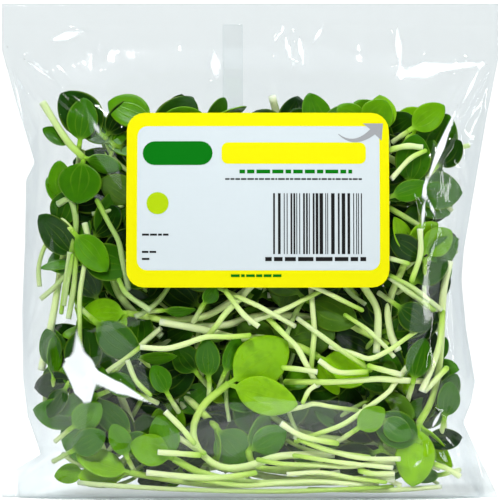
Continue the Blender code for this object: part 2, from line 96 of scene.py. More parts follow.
# The sprouts that show through the front: the stem's points as (x, z) from its cut end up to the collar, then
# for each of the two leaves (heading, length, width, roll), with angles in degrees. The first lie foremost.
FRONT_SPROUTS = (
    (((29, 15.5), (10.5, 15), (-1, 11.4), (-10, 11.2), (-17, 16.4), (-19.5, 24.2), (-15.7, 32.8),
      (-7.5, 39.7)),
     ((36, 25, 17, 8), (-16, 25, 14, 28))),
    (((69.3, 82), (67.2, 73), (66.4, 64), (66, 53), (65, 43), (62.3, 33), (58.2, 26)),
     ((264, 22, 13.5, 10), (309, 20, 9, 50))),
    (((51, 12.6), (31, 12.3), (17, 10.8), (7, 10), (1, 12), (-0.5, 16.5)),
     ((68, 15, 9, 45), (30, 15, 10, 15))),
    (((-38, 47), (-28, 40), (-19, 32), (-11.5, 24.5)), ((-50, 16, 13, 5), (-88, 13, 9, 60))),
    (((32, 8.2), (17, 8.6), (-2, 11), (-17, 15), (-30, 17.6)), ((79, 16, 12, 0), (164, 13, 8.5, 30))),
    (((31, 9), (17, 6.6), (2, 5), (-13, 5), (-29, 7), (-41, 9)), ((166, 20, 11, 40), (185, 19, 9, 25))),
    (((34, 5), (17, 5.4), (0, 8), (-17, 12), (-31, 16)), ((207, 17, 9, 32), (150, 18, 13, -20))),
    (((-31, 61), (-17, 58.5), (-5, 55.5), (4, 55.5), (12.5, 53.7), (18, 52), (23.5, 48.9)),
     ((-24, 19, 13, -12), (-62, 15, 9, 55))),
    (((-72, 137), (-67, 129), (-62.5, 122.5), (-57.5, 117.5)), ((262, 16, 15, 4), (-8, 14, 8, 45))),
    (((8, 83), (0, 73), (-9.6, 66), (-17, 62.5), (-27.4, 61.5), (-37.6, 63.2), (-42, 64)),
     ((180, 16, 9.5, 12), (238, 14, 9, 45))),
    (((-30.4, 56), (-39, 63), (-45, 70), (-47.5, 76), (-50, 82)), ((116, 16, 10, 14), (57, 14, 9, 30))),
    (((-38.6, 48.7), (-31, 53), (-17.4, 56.4), (-3, 59), (16, 59.4), (30, 59.2), (33.4, 62.4), (32.7, 68)),
     ((60, 15, 10, 30), (125, 15, 10, 40))),
    (((-19.5, 59.6), (-9, 59.7), (3.3, 62.9), (22, 62.4), (38, 58), (52, 50)),
     ((-22, 15, 10, 20), (-80, 15, 10, 35))),
    (((6, 69.7), (13.7, 69.4), (20.7, 66.4), (29, 55.4), (36, 46), (43, 35)),
     ((-55, 14, 9, 30), (5, 14, 9, 60))),
    (((43.4, 50.3), (44, 58.4), (43.6, 65.6), (39.3, 72.8), (34, 80)),
     ((120, 16, 11, 20), (60, 15, 10, 40))),
    (((51, 51), (48.6, 56.4), (47.5, 64), (48.6, 70), (52.3, 78.7), (54.5, 84)),
     ((50, 15, 10, 20), (112, 14, 9, 50))),
    (((56, 36), (53, 47), (50, 57.4), (46, 68), (41, 79)), ((128, 15, 10, 25), (70, 15, 10, 50))),
    (((41.4, 43), (50, 42), (56.5, 46), (59, 54), (57.5, 62), (51, 70), (44, 78), (36, 85)),
     ((110, 13, 10, 20), (165, 13, 9, 40))),
    (((16, 42), (26, 40.5), (37, 36.5), (45, 31), (49, 25), (49.5, 20)),
     ((-50, 14, 9, 40), (-112, 13, 9, 30))),
    (((51.8, 19.2), (38.2, 19.8), (21.8, 21.5), (11, 26), (4, 31)), ((160, 15, 10, 30), (95, 15, 10, 20))),
    (((43.6, 14.3), (27.3, 17), (15.3, 21.5), (4, 27), (-4, 34)), ((150, 14, 11, 20), (95, 13, 8, 40))),
    (((49, 11.3), (27.3, 10.3), (8.2, 12.3), (-8, 14.5), (-22, 20)), ((130, 15, 11, 20), (190, 14, 9, 40))),
    (((49.6, 7), (38, 7), (20, 6), (0, 6), (-16, 9), (-26, 14)), ((160, 16, 11, 20), (110, 16, 11, -20))),
    (((66, 10), (58, 12.7), (46, 18), (35, 25)), ((150, 15, 10, 25), (95, 14, 10, 30))),
    (((-72.5, 44), (-68.6, 61.2), (-66.3, 74.9), (-64.3, 85.8), (-63, 99)),
     ((75, 15, 10, 25), (125, 14, 9, 50))),
    (((-33, 42), (-39, 54), (-46, 68), (-52, 79)), ((172, 15, 9, 62), (104, 14, 10, 10))),
    (((-41, 26), (-45, 36), (-49, 46), (-52, 56)), ((178, 13, 9, 60), (128, 13, 10, 40))),
    (((-57.8, 25.3), (-55, 35), (-54.5, 45), (-57, 55.7), (-60, 66)),
     ((60, 15, 10, 20), (105, 15, 10, 50))),
    (((-40, 76), (-42, 90), (-43.5, 103), (-46, 114)), ((84, 15, 9, 30), (120, 13, 8, 60))),
    (((-20, 86), (-24, 99), (-27, 113), (-29, 123), (-32.5, 130.5)), ((160, 18, 11, 5), (5, 17, 9, 25))),
    (((8, 92), (1, 106), (-8, 119), (-15, 129.5)), ((28, 15, 9, 70), (60, 11, 8, 50))),
    (((38, 92), (36, 108), (38, 119), (40, 127)), ((140, 13, 9, 10), (55, 12.5, 11, 5))),
    (((27, 121), (37, 120.5), (47, 118), (54, 113.5), (58, 109)), ((-45, 16, 13, 0), (200, 14, 9, 20))),
    (((44, 92), (48, 104), (52, 115), (55, 125)), ((20, 13, 10, 10), (-42, 15, 10, 12))),
    (((68, 84), (59, 90), (47.5, 96), (34, 101), (22, 104)), ((150, 15, 10, 20), (95, 14, 10, 30))),
)

# How pale the foremost sprouts are, by number, from 0, deep green, to 1, bright yellow green
FRONT_TONES = {1: 0.8, 2: 0.9, 3: 0.4, 4: 0.6, 5: 0.5, 6: 0.75, 7: 0.7, 8: 0.88, 9: 0.2, 10: 0.62}

# Film: rows up the bag and columns across it, on each of its two faces
FILM_ROWS, FILM_COLUMNS = 196, 190
LEAST_INWARD = -0.85
SOFTEN = 9
# How milky the seal and the ears are, where the film is double
SEAL_MILK, EAR_MILK, EAR_TOP = 0.05, 0.35, 30

# Creases that catch the light, as long low pyramids pressed out of the film's front:
# (x, z, heading in degrees, half length, half width, height)
FRONT_CREASES = (
    (-57, 49, 100, 12, 7, 2.6), (-46, 38, -30, 15, 5, 2.4), (-61, 40, 175, 9, 4, 1.4),
    (-55, 33, 85, 9, 3, 1.2), (-38, 31, -22, 14, 3, 1.2), (72, 129, 61, 27, 2.2, 2.2),
    (63, 116, 66, 13, 3.4, 2.2), (58, 97, 105, 12, 2.6, 1.5), (62, 93, 78, 16, 2.2, 1.4),
    (59, 148, -8, 13, 3.4, 2.0), (75, 150, 5, 12, 1.6, 1.4), (50, 157, 97, 8, 2.4, 1.7),
    (-58, 161, -14, 7, 1.8, 1.4), (-71, 146, -47, 17, 2.6, 1.8), (-64, 137, -40, 16, 2.2, 1.5),
    (-77, 140, -63, 15, 2.0, 1.3), (-12.5, 149, 78, 6, 3.2, 1.8), (16, 155, 100, 9, 1.4, 1.3),
    (9, 157, 88, 7, 0.9, 1.0), (24, 160, 92, 6, 1.2, 1.1), (-48, 131, -35, 11, 3.6, 1.5),
    (-74, 92, 88, 18, 1.8, 1.2), (-70, 30, 62, 14, 2.4, 1.4), (-75, 12, 28, 13, 2.4, 1.3),
    (74, 22, -58, 14, 2.4, 1.3), (68, 27, -40, 8, 2.2, 1.4), (70, 60, 92, 16, 2.2, 1.2),
    (-20, 24, 15, 30, 9, 1.1), (25, 33, -8, 26, 8, 1.0), (-66, 66, 70, 20, 5, 1.3),
    (60, 45, 80, 20, 6, 1.2),
)
# Where lesser creases fall at random: (how many, x range, z range, heading and its spread,
# half length range, half width range, height range)
CREASE_FIELDS = (
    (26, (-80, 80), (146, 161), 90, 14, (4, 11), (0.9, 2.4), (0.15, 0.5)),
    (14, (-82, -60), (125, 158), -52, 10, (8, 20), (1.0, 2.2), (0.25, 0.6)),
    (12, (60, 82), (120, 158), 54, 10, (8, 20), (1.0, 2.2), (0.25, 0.7)),
    (26, (-80, -62), (16, 122), 78, 30, (7, 20), (1.4, 3.6), (0.3, 1.1)),
    (24, (62, 80), (16, 122), 98, 30, (7, 20), (1.4, 3.4), (0.3, 1.0)),
    (22, (-76, 76), (3, 14), 90, 22, (5, 11), (1.4, 3.4), (0.3, 0.8)),
    (22, (-62, 62), (14, 128), 0, 90, (12, 30), (4, 11), (0.25, 0.8)),
    (8, (-84, -70), (3, 22), 35, 14, (6, 12), (1.0, 2.2), (0.3, 0.9)),
    (8, (70, 84), (3, 28), 125, 16, (6, 13), (1.0, 2.2), (0.3, 0.9)),
)
FRONT_SEED, BACK_SEED = 21, 34

# The film's looks: its tint where it faces the eye and where it turns away, here and on the lap seam's strip
FILM_TINTS = (0.87, 0.9, 0.905, 1), (0.77, 0.81, 0.825, 1)
STRIP_TINTS = (0.985, 0.99, 0.99, 1), (0.93, 0.95, 0.955, 1)
HAZE = 0.86, 0.91, 0.93, 1
# Shares of white haze: the double film's own milkiness, then painted glints and painted veils of reflected
# light
MILK_SHARE, PAINTED_GLINT_SHARE, PAINTED_VEIL_SHARE = 0.2, 0.78, 0.04
GLOSS_FACING, GLOSS_GRAZING, GLOSS_ROUGHNESS = 0.03, 0.8, 0.07

# Colours in screen values, from 0 to 255. A stem's have their places along it, from cut end to collar
LABEL_LOOKS = {"label_yellow": (202, 199, 0), "label_panel": (180, 190, 194), "print_green": (0, 98, 8),
               "print_lime": (150, 178, 8), "print_grey": (136, 139, 142), "print_dark": (24, 24, 24)}
STEM_SHADES = ((0.0, (250, 254, 222)), (0.04, (244, 252, 192)), (0.5, (234, 250, 168)),
               (0.85, (204, 234, 108)), (1.0, (158, 204, 58)))
# A low tone darkens stems towards STEM_DARK and leaves towards LEAF_DEEPEST; deep in the bag that tone is
# painted shade
STEM_DARK = 96, 144, 30
LEAF_DEEPEST, LEAF_GREEN, LEAF_BRIGHT = (12, 42, 2), (68, 130, 6), (156, 210, 14)
# The paler veins share their colour with a painted highlight along the leaf's rim
LEAF_UNDER, PALE_VEIN_AND_RIM_HIGHLIGHT, LEAF_MOTTLE = (120, 168, 44), (170, 206, 50), (30, 84, 10)
UNDER_SHARE, PAINTED_RIM_HIGHLIGHT, MOTTLE_SHARE = 0.4, 0.22, 0.22
VEIN_BOW, VEIN_HALF, VEIN_LIGHT = 0.42, 0.055, 0.13

# Fine sprouts
STEM_RINGS, STEM_SIDES = 26, 10
LEAF_RINGS, LEAF_COLUMNS = 17, 9
# The greens that fill the bag behind the ones above: (how many to try, which face they lie against,
# x range and z range of the collar, the stem's heading towards it and its spread, and the ranges
# of the stem's and the leaves' lengths)
FILL_FIELDS = (
    (260, 1, (-66, 66), (100, 136), 90, 60, (14, 30), (14, 23)),
    (220, 1, (-72, -36), (46, 112), 120, 90, (12, 34), (14, 23)),
    (200, 1, (42, 70), (80, 128), 70, 80, (12, 34), (14, 23)),
    (160, 1, (34, 68), (12, 74), -30, 120, (12, 40), (14, 22)),
    (200, 1, (-70, -10), (8, 54), 190, 90, (12, 36), (14, 22)),
    (160, 1, (-24, 38), (8, 58), 120, 180, (20, 50), (14, 22)),
    (300, 1, (-68, 68), (8, 112), 90, 180, (14, 60), (14, 22)),
    (400, 1, (-77, -56), (10, 126), 90, 180, (6, 18), (9, 15)),
    (400, 1, (56, 77), (10, 126), 90, 180, (6, 18), (9, 15)),
    (400, -1, (-68, 68), (8, 132), 90, 75, (12, 40), (14, 23)),
)
FILL_SEED = 5
FILL_CLEARANCE = -0.3
FILL_START = 2.0, 7.0
CORE_TRIES = 260
CORE_FIELD = (0, 1, (-69, 69), (8, 126), 90, 60, (10, 30), (14, 23))
FILL_GIRTH = 0.5, 0.75
# How pale they are at the film, how much darker for each millimetre further in as painted shade, and how much
# they differ
PALE_AT_FILM, DARKER_PER_MM, TONE_SPREAD = 0.64, 0.028, 0.16

# Stems whose leaves lie out of sight, each as (x, z) along it from left to right
EXTRA_STEMS = (
    ((-50, 5), (-20, 3.5), (10, 3), (40, 4)), ((-32, 3.5), (0, 3), (30, 3), (58, 4.5)),
    ((20, 3.5), (45, 3), (66, 4)), ((-44, 7.5), (-14, 5), (20, 4.5), (52, 6.5)),
    ((-58, 4.5), (-40, 3), (-18, 3)), ((-8.5, 72), (-2.5, 64), (3, 59.5)),
    ((-2.5, 69), (3, 66.5), (7.5, 64)), ((-11, 60.5), (-8, 64.5), (-3, 69.5), (-0.5, 72.5)),
    ((8, 64), (13, 66), (17, 68)), ((22, 73), (26.5, 71), (30.5, 69)), ((21.5, 65), (22, 58), (21.5, 51.5)),
    ((23.5, 57), (29, 53), (34, 49.5)),
    ((-37.5, 52.5), (-29, 52), (-22.5, 53.5), (-15, 56), (-8, 56), (0, 56.5)),
    ((-44.5, 46), (-41, 50), (-37.5, 53)), ((11, 45.5), (16.5, 45), (23, 44)),
    ((21, 40.5), (28.5, 40.5), (37.5, 41), (44, 41.5), (51.5, 41)),
    ((24, 23), (32, 26), (39.5, 31), (47, 36.5), (49, 39)), ((18, 32), (22, 33), (28, 32)),
    ((18, 33.5), (20, 37.5), (22.5, 39.5)), ((40.5, 46), (46, 44.5), (51.5, 43)),
    ((36, 50), (41, 48.5), (47, 51), (51.5, 54)), ((16.5, 21), (25.5, 17.5), (38, 14.5), (51.5, 14)),
    ((2.5, 14), (10.5, 12.5), (22.5, 12), (35, 11.5), (49.5, 14)), ((37.5, 10), (42.5, 9), (49.5, 9)),
    ((-35.5, 9.5), (-20, 8), (-8, 8), (2, 9.5)), ((-14, 6.5), (-1.5, 5), (10.5, 6), (22.5, 6.5), (35, 5.5)),
    ((-31.5, 16.5), (-23, 16), (-17, 15.5)), ((47.5, 100.5), (58.5, 94), (71.5, 85)),
    ((47.5, 83), (54.5, 81)), ((48, 77), (56.5, 72.5), (66, 65)),
    ((59, 37), (63, 46), (65.5, 54.5), (66.5, 64.5)), ((63.5, 16), (70.5, 12.5), (77, 10.5)),
    ((63.5, 12), (68.5, 10), (72.5, 7.5)), ((66.5, 120.5), (71.5, 121), (76, 122)),
    ((48.5, 110), (55, 117), (60.5, 120)), ((47.5, 120), (54, 121.5), (59.5, 121)),
    ((58.5, 93), (58.5, 84), (55.5, 75)), ((-66.5, 101.5), (-62, 103), (-60, 95), (-61.5, 84)),
    ((-61, 84), (-63, 73), (-64, 66.5)), ((-63.5, 87.5), (-66, 73), (-68.5, 62), (-72, 50)),
    ((-57, 95), (-54, 84), (-49.5, 76.5)), ((-48.5, 95), (-45, 88.5), (-43.5, 81)),
    ((-59.5, 73), (-57, 79.5), (-53, 85)), ((-45, 75.5), (-42, 70.5), (-34, 65)),
    ((-49, 44), (-42, 49), (-37.5, 52.5)), ((-54, 48.5), (-46, 50), (-38.5, 52.5)),
    ((-78.5, 9), (-73.5, 13), (-68, 16)), ((-24.5, 21.5), (-20, 18.5), (-15.5, 16)),
    ((-29, 30.5), (-23.5, 25), (-19, 19.5)), ((37.5, 10.5), (45.5, 7.5), (52, 4.5)),
    ((12.5, 9), (24.5, 9.5), (35.5, 7.5), (46.5, 6)), ((-24.5, 5), (-9, 6), (7, 4), (22.5, 4.5)),
    ((-42, 12), (-29, 12), (-15.5, 9), (-5, 6.5)), ((23.5, 48), (30, 44), (40, 44)),
    ((32.5, 63.5), (40, 58.5), (45.5, 53.5), (49.5, 49)), ((11.5, 57), (16, 52.5), (19, 47)),
    ((37.5, 30.5), (44.5, 26.5), (52, 24.5)), ((10.5, 26.5), (18, 22), (30, 19.5)),
    ((22, 68), (31, 60), (41, 51), (50, 42)), ((48, 76.5), (55, 71), (63.5, 65)),
    ((-62, 85), (-63.5, 75), (-65, 64)), ((-60, 84), (-60.5, 74), (-62.5, 62)),
    ((-57, 80), (-58.5, 70), (-58.5, 60)), ((-52, 75), (-56, 69), (-59, 64)),
    ((-44, 49), (-39, 42), (-33, 36), (-26, 34.5)), ((-42, 48), (-39, 41), (-34, 36)),
    ((12, 29), (22, 24), (36, 21), (51, 20)), ((15, 22), (27, 17), (41, 14.5)),
    ((30, 20.5), (41, 16.5), (50, 15)), ((15, 15.5), (31, 13), (49, 11)), ((16, 9.5), (35, 10), (52, 5)),
    ((60, 37), (64, 41), (68, 45)), ((55, 72), (60.5, 69), (65, 65)),
    ((-46, 5), (-30, 6.5), (-12, 7), (6, 5.5)), ((-20, 9), (0, 8), (22, 7.5), (44, 9)),
    ((-30, 6), (-8, 7.5), (16, 6.5), (40, 8)), ((-60, 7), (-48, 6), (-34, 5), (-20, 6)),
    ((10, 5), (28, 6.5), (46, 6), (60, 7)),
)
# Leaves that show between the others: base (x, z), heading, length, width, roll and how pale
EXTRA_LEAVES = (
    (-59, 122, 85, 16.5, 10.5, 10, 0.35), (-62, 122, 150, 11.5, 5.5, 20, 0.25),
    (-50, 122, 45, 13.5, 8.5, -15, 0.15), (-54, 105, 150, 16, 13, 10, 0.3),
    (-65, 106, 130, 9.5, 6.5, 30, 0.3), (-54, 105, -60, 17.5, 9, 20, 0.2),
    (-61, 92, -50, 18, 10, -15, 0.45), (-54, 85, 135, 13.5, 8.5, 10, 0.12),
    (-42, 120, -145, 11, 8.5, 15, 0.12), (-53, 126, 145, 14, 9.5, -20, 0.22),
    (-57, 81, -173, 15.5, 6, 60, 0.6), (-57, 58, 175, 12.5, 7, 50, 0.5), (-68, 41, 95, 14.5, 8.5, 55, 0.2),
    (-63, 39, -115, 13, 8.5, 40, 0.3), (-54, 62, -40, 21, 11.5, 10, 0.1), (-32, 18, 170, 12.5, 8, 0, 0.55),
    (-42, 14, 115, 13, 7.5, 20, 0.6), (-33, 15, -150, 17, 7, 15, 0.75), (-52, 11, 135, 19, 9.5, -10, 0.4),
    (-50, 12, 160, 15, 8.5, 0, 0.5), (-46, 6, 175, 13, 5.5, 20, 0.5), (-62, 24, 40, 14, 9.5, 15, 0.35),
    (-40, 22, 140, 18.5, 9.5, -20, 0.3), (-38, 36, 155, 14, 8.5, 30, 0.35), (1, 15, 105, 16, 6.5, 35, 0.3),
    (2, 14, 70, 15, 6.5, -35, 0.35), (5, 14, 30, 13, 9.5, 10, 0.4), (-14, 41, 90, 14.5, 8.5, -20, 0.3),
    (-9, 43, 70, 14.5, 7.5, 35, 0.25), (-39, 49, 5, 14, 7.5, 60, 0.4), (-18, 43, 130, 12, 9.5, 10, 0.15),
    (-28, 36, 120, 11.5, 7.5, 25, 0.35), (22, 44, -150, 11.5, 7.5, 20, 0.35),
    (47, 126, 100, 13.5, 9.5, -10, 0.5), (44, 125, 30, 14.5, 9.5, 10, 0.28), (55, 127, 35, 15, 9, 0, 0.5),
    (60, 127, 35, 14, 8.5, 15, 0.4), (64, 114, 45, 13, 9, -10, 0.2), (62, 124, -150, 13, 9, 10, 0.6),
    (57, 100, 60, 15.5, 11.5, -10, 0.3), (48, 104, 20, 14, 7, 15, 0.4), (59, 84, 40, 13.5, 9.5, 10, 0.35),
    (56, 74, 30, 14.5, 8.5, -15, 0.3), (50, 67, -35, 14.5, 9.5, 0, 0.22), (67, 51, 85, 16.5, 7.5, 40, 0.3),
    (64, 44, 80, 12, 6.5, 40, 0.35), (56, 40, 75, 16, 8.5, -10, 0.25), (67, 27, 80, 13.5, 8.5, 20, 0.3),
    (36, 24, 35, 12.5, 8, 0, 0.5), (45, 28, -35, 12.5, 8, 10, 0.3), (66, 8, -170, 9, 4.5, 20, 0.45),
    (64, 24, -140, 10.5, 7.5, 0, 0.15), (-30, 65, 5, 11.5, 6.5, 60, 0.3), (-16, 67, 60, 8, 6.5, 40, 0.2),
    (-41, 61, -25, 11.5, 7.5, 10, 0.4), (-57, 9, -170, 11, 6.5, 15, 0.55), (-56, 13, 163, 14, 8, 10, 0.3),
    (-53, 12.5, 133, 16.5, 5, 50, 0.45), (-50.5, 36.5, -156, 18, 7.5, 20, 0.25),
    (-55, 24, 120, 12, 9, 0, 0.1), (-50, 30, -100, 14, 9, 0, 0.08), (-57, 20, 60, 13, 9, 10, 0.12),
    (-54, 16, 150, 14, 9, 0, 0.15), (-62, 16, 30, 14, 9, 0, 0.1), (-50, 24, 200, 14, 9, 0, 0.12),
    (-62, 28, -60, 14, 9, 0, 0.15),
)
# How far a stem's ends run on out of sight, and how deep
RUN_ON, RUN_DEEP = 9, 5
EXTRA_GIRTH, LEAF_GIRTH = (0.62, 0.86), 0.7
# How far in from the film they may lie
LEAF_DEEP, STEM_DEEP = 24, 9

# A painted glint or veil has its table's size at this share of its height
THRESHOLD = 0.5

# Painted highlights, white where folds would throw the light straight back: (x, z), heading, half length,
# half width and strength
PAINTED_GLINTS = (
    (-58.2, 46, 96, 12, 3.4, 1.0), (-57, 42.5, -26, 9, 4.5, 0.8), (-44.5, 38.8, -27, 14, 1.7, 1.0),
    (-57, 38.5, -60, 6, 2.2, 0.8), (65.8, 121.2, 68, 15.5, 1.3, 1.0), (76.5, 142.4, 64, 10, 0.9, 0.8),
    (59.5, 98, 86, 10, 0.9, 0.8), (62.6, 100, 112, 7, 0.8, 0.8), (60.6, 147.9, 10, 11, 2.8, 1.0),
    (75.9, 149.5, 6, 10, 0.9, 0.8), (51.4, 156, 95, 9.5, 1.3, 0.9), (-63.7, 159.8, 15, 7, 1.6, 0.9),
    (-73, 148, -36, 15, 0.8, 0.7), (-80.2, 138, -78, 17, 0.7, 0.7), (-11.9, 149.5, 95, 7, 2.4, 0.8),
    (13.2, 155.5, 105, 9, 0.9, 0.9), (17.6, 155, 100, 9, 1.0, 0.9), (23.6, 160.4, 60, 5, 0.8, 0.9),
    (9.4, 159.3, 60, 4, 0.7, 0.8), (-52.8, 127.7, -60, 8, 2.0, 0.6), (64, 27.3, 60, 6, 0.9, 0.8),
    (68.6, 20, -50, 5, 0.7, 0.7), (57.5, 12.5, 40, 6, 1.4, 0.6),
)
# Wide facets that hold a thin veil of light, a painted reflection in white haze
PAINTED_VEILS = (
    (-42, 48, -58, 17, 5.5, 1.0), (-62, 26, 68, 22, 6, 1.0), (29, 28.5, -4, 27, 5.5, 1.0),
    (-8, 24, 12, 24, 9, 1.0), (-71, 62, 84, 34, 5, 0.9), (60, 66, 74, 30, 5, 0.9),
    (66, 108, 100, 22, 6, 0.8), (-50, 120, -66, 22, 5, 0.8),
)

# The stage, in millimetres: how far it reaches, where its front part ends, and the backdrop and its cove
STAGE_REACH, FLOOR_SPLIT, BACKDROP_Y, COVE = 3600, -300, 2400, 500
STAGE_SHADE, SKY = (0.93, 0.93, 0.93, 1), (0.97, 0.985, 1, 1)
# Lamps: place, aim and size in metres, watts, and whether the film mirrors the lamp
MIDDLE = 0, 0, 0.08
LAMPS = (
    ("key", (-0.28, -0.6, 1.32), MIDDLE, (0.1, 0.1), 8, True),
    ("right_strip", (0.95, -0.5, 0.35), MIDDLE, (0.1, 0.6), 2.5, True),
    ("top", (0.35, -0.1, 1.2), MIDDLE, (0.5, 0.3), 4, True),
    ("front", (-0.3, -1.44, 1.11), MIDDLE, (0.3, 0.3), 21, False),
    ("spark", (-0.22, -1.45, 1.11), MIDDLE, (0.09, 0.09), 2, True),
    ("backdrop", (0, 1.0, 2.2), (0, 2.4, 0.4), (2.2, 0.5), 45, True),
)
# The camera: metres from the bag's middle, metres up, and the metres that the photograph takes in across it
DISTANCE, EYE_HEIGHT, FRAME_WIDTH = 1.5, 0.0857, 0.1734
SENSOR = 36


# The bag's shape and the sprouts, as in the model


def at_height(table, z):
    """The value of a (height, value) table at height z, in straight runs between its points."""
    heights, values = zip(*table)
    return np.interp(z, heights, values)


def side_edge(x, z):
    """How far out the film's folded edge is, on the side of the bag where x lies."""
    return np.where(x < 0, at_height(LEFT_EDGE, z), at_height(RIGHT_EDGE, z))


def belly_edge(x, z):
    """How far out the full part of the bag reaches. Below the waist the rest is a flat ear."""
    waist = np.where(x < 0, LEFT_WAIST, RIGHT_WAIST)
    at_waist = side_edge(x, waist)
    out = side_edge(x, z)
    return np.where(z < waist, at_waist + EAR_FULLNESS * (out - at_waist), out)


def half_depth(x, z, inset=0.0):
    """Half the bag's thickness at (x, z), or half its inside's where inset is the wall."""
    across = np.abs(x) / (belly_edge(x, z) - 2 * inset)
    section = np.clip(1 - across**SECTION_POWER, 0, 1) ** SECTION_ROUND
    return EDGE_HALF - inset + (at_height(BELLY, z) - EDGE_HALF) * section


def smooth_path(points, count):
    """count points evenly spaced along a smooth curve through the given ones (Catmull-Rom)."""
    points = np.asarray(points, float)
    ends = np.vstack([2 * points[0] - points[1], points, 2 * points[-1] - points[-2]])
    t = np.linspace(0, 1, 12, endpoint=False)[:, None]
    dense = []
    for a, b, c, d in zip(ends, ends[1:], ends[2:], ends[3:]):
        bend, twist = 2 * a - 5 * b + 4 * c - d, 3 * b - a - 3 * c + d
        dense.append(0.5 * (2 * b + (c - a) * t + bend * t**2 + twist * t**3))
    dense = np.vstack([*dense, points[-1:]])
    along = np.concatenate([[0], np.cumsum(np.linalg.norm(np.diff(dense, axis=0), axis=1))])
    wanted = np.linspace(0, along[-1], count)
    return np.stack([np.interp(wanted, along, column) for column in dense.T], axis=1)


def leaf_half_width(u, width):
    """Half a leaf's width at share u of its length: a narrow petiole that opens into a round-ended blade."""
    blade = np.clip((u - PETIOLE_SHARE) / (1 - PETIOLE_SHARE), 0, 1)
    swell = np.sin(math.pi * blade**0.9) ** 0.62
    return PETIOLE_HALF * (1 - 0.75 * blade) + (width / 2 - 0.25 * PETIOLE_HALF) * np.nan_to_num(swell)


class Sprout:
    """One cut sprout, held as (x, depth behind the film, z) and then slid back into the bag."""

    def __init__(self, stem, leaves, facing, girth=1.0, tone=0.0):
        self.stem = stem
        self.leaves = leaves
        self.facing = facing
        self.back = 0.0
        self.girth = girth
        self.tone = tone

    def placed(self, points):
        """Points in the bag. Depth counts from a surface that follows the film the sprout lies against."""
        x, depth, z = points[..., 0], points[..., 1], points[..., 2]
        film = -GUIDE_SHARE * half_depth(x, z)
        return np.stack([x, self.facing * (film + depth + self.back), z], axis=-1)

    def stem_points(self, count):
        return self.placed(smooth_path(self.stem, count))

    def leaf_point(self, leaf, u, v):
        """The point at share u along a leaf's middle surface and v across it, from -1 to 1."""
        heading, length, width, roll, pitch, curl = leaf
        h, r, p = math.radians(heading), math.radians(roll), math.radians(pitch)
        forward = np.array([math.cos(h) * math.cos(p), math.sin(p), math.sin(h) * math.cos(p)])
        across = np.array([-math.sin(h), 0, math.cos(h)])
        inward = np.cross(forward, across)
        side = across * math.cos(r) + inward * math.sin(r)
        face = np.cross(forward, side)
        half = leaf_half_width(u, width)
        cupped = curl * u**2 + CUP * (v**2) * np.sin(math.pi * np.clip(u, 0, 1))
        point = (self.stem[-1] + forward * (u * length)[..., None]
                 + side * (v * half)[..., None] + face * cupped[..., None])
        return self.placed(point)

    def samples(self):
        """Points all over the sprout, each with the radius of the ball that it stands for."""
        stem = self.stem_points(40)
        u, v = np.meshgrid(np.linspace(0.04, 1, 12), np.linspace(-1, 1, 7), indexing="ij")
        blades = [self.leaf_point(leaf, u, v).reshape(-1, 3) for leaf in self.leaves]
        points = np.vstack([stem, *blades])
        radii = np.where(np.arange(len(points)) < len(stem), STEM_RADIUS_CUT, LEAF_SAMPLE_RADIUS)
        return points, radii * self.girth


class Heap:
    """The sprouts laid so far, as one cloud of points with radii that later ones have to clear."""

    def __init__(self, sprouts=()):
        self.points, self.radii = np.empty((0, 3)), np.empty(0)
        for sprout in sprouts:
            self.add(sprout)

    def add(self, sprout):
        points, radii = sprout.samples()
        self.points = np.vstack([self.points, points])
        self.radii = np.concatenate([self.radii, radii])

    def overlaps(self, points, radii, spare=0.0):
        """Where these balls overlap the heap's in the view from the front, for each pair: how far further
        back the heap's is, how near the two may come, and the square of how far apart they look."""
        low, high = points.min(0)[[0, 2]] - VIEW_MARGIN, points.max(0)[[0, 2]] + VIEW_MARGIN
        flat = self.points[:, [0, 2]]
        near = np.all((flat > low) & (flat < high), axis=1)
        others = self.points[near]
        reach = radii[:, None] + self.radii[near][None, :] + spare
        apart_x, apart_z = (points[:, None, axis] - others[None, :, axis] for axis in (0, 2))
        apart = apart_x**2 + apart_z**2
        rows, columns = np.nonzero(apart < reach**2)
        return others[columns, 1] - points[rows, 1], reach[rows, columns], apart[rows, columns]


def room_in_bag(sprout, points, radii):
    """The least and the most that the sprout can be slid back and still be inside the film."""
    x, y, z = points.T
    wall = half_depth(x, z, WALL) - radii - FILM_CLEARANCE
    depth = y * sprout.facing
    low, high = np.max(-wall - depth), np.min(wall - depth)
    upright = (z - radii).min() > LOWEST and (z + radii).max() < HIGHEST
    inside = upright and wall.min() > LEAST_ROOM
    return (low, high) if inside else (1.0, 0.0)


def first_free(sprout, heap, points, radii, low, high, clearance):
    """The least slide from low to high that keeps the sprout clear of the heap, or None."""
    behind, reach, apart = heap.overlaps(points, radii, clearance)
    half = np.sqrt(reach**2 - apart)
    middle = behind * sprout.facing
    starts, ends = middle - half, middle + half
    order = np.argsort(starts)
    at = low
    for start, end in zip(starts[order], ends[order]):
        if start > at:
            break
        at = max(at, end)
    return at if at <= high else None


def slide_in(sprout, heap, clearance=CLEARANCE, start=0.0):
    """Slides the sprout back to its first free place. False if the bag has none there."""
    points, radii = sprout.samples()
    low, high = room_in_bag(sprout, points, radii)
    if low > high:
        return False
    at = first_free(sprout, heap, points, radii, low + start, high, clearance)
    if at is None:
        return False
    sprout.back = at
    return True


def leaf_with_lean(leaf, rng):
    """A leaf with a small lean and curl of its own, drawn at random."""
    return (*leaf, rng.uniform(-8, 14), rng.uniform(-0.5, 2.5))


def front_sprout(row, rng):
    """A sprout of the table. Its stem bows a little away from the film."""
    points, leaves = row
    bow = rng.uniform(0.5, 3.0)
    share = np.linspace(0, 1, len(points))
    stem = [(x, bow * math.sin(math.pi * s), z) for (x, z), s in zip(points, share)]
    return Sprout(np.array(stem), [leaf_with_lean(leaf, rng) for leaf in leaves], facing=1)


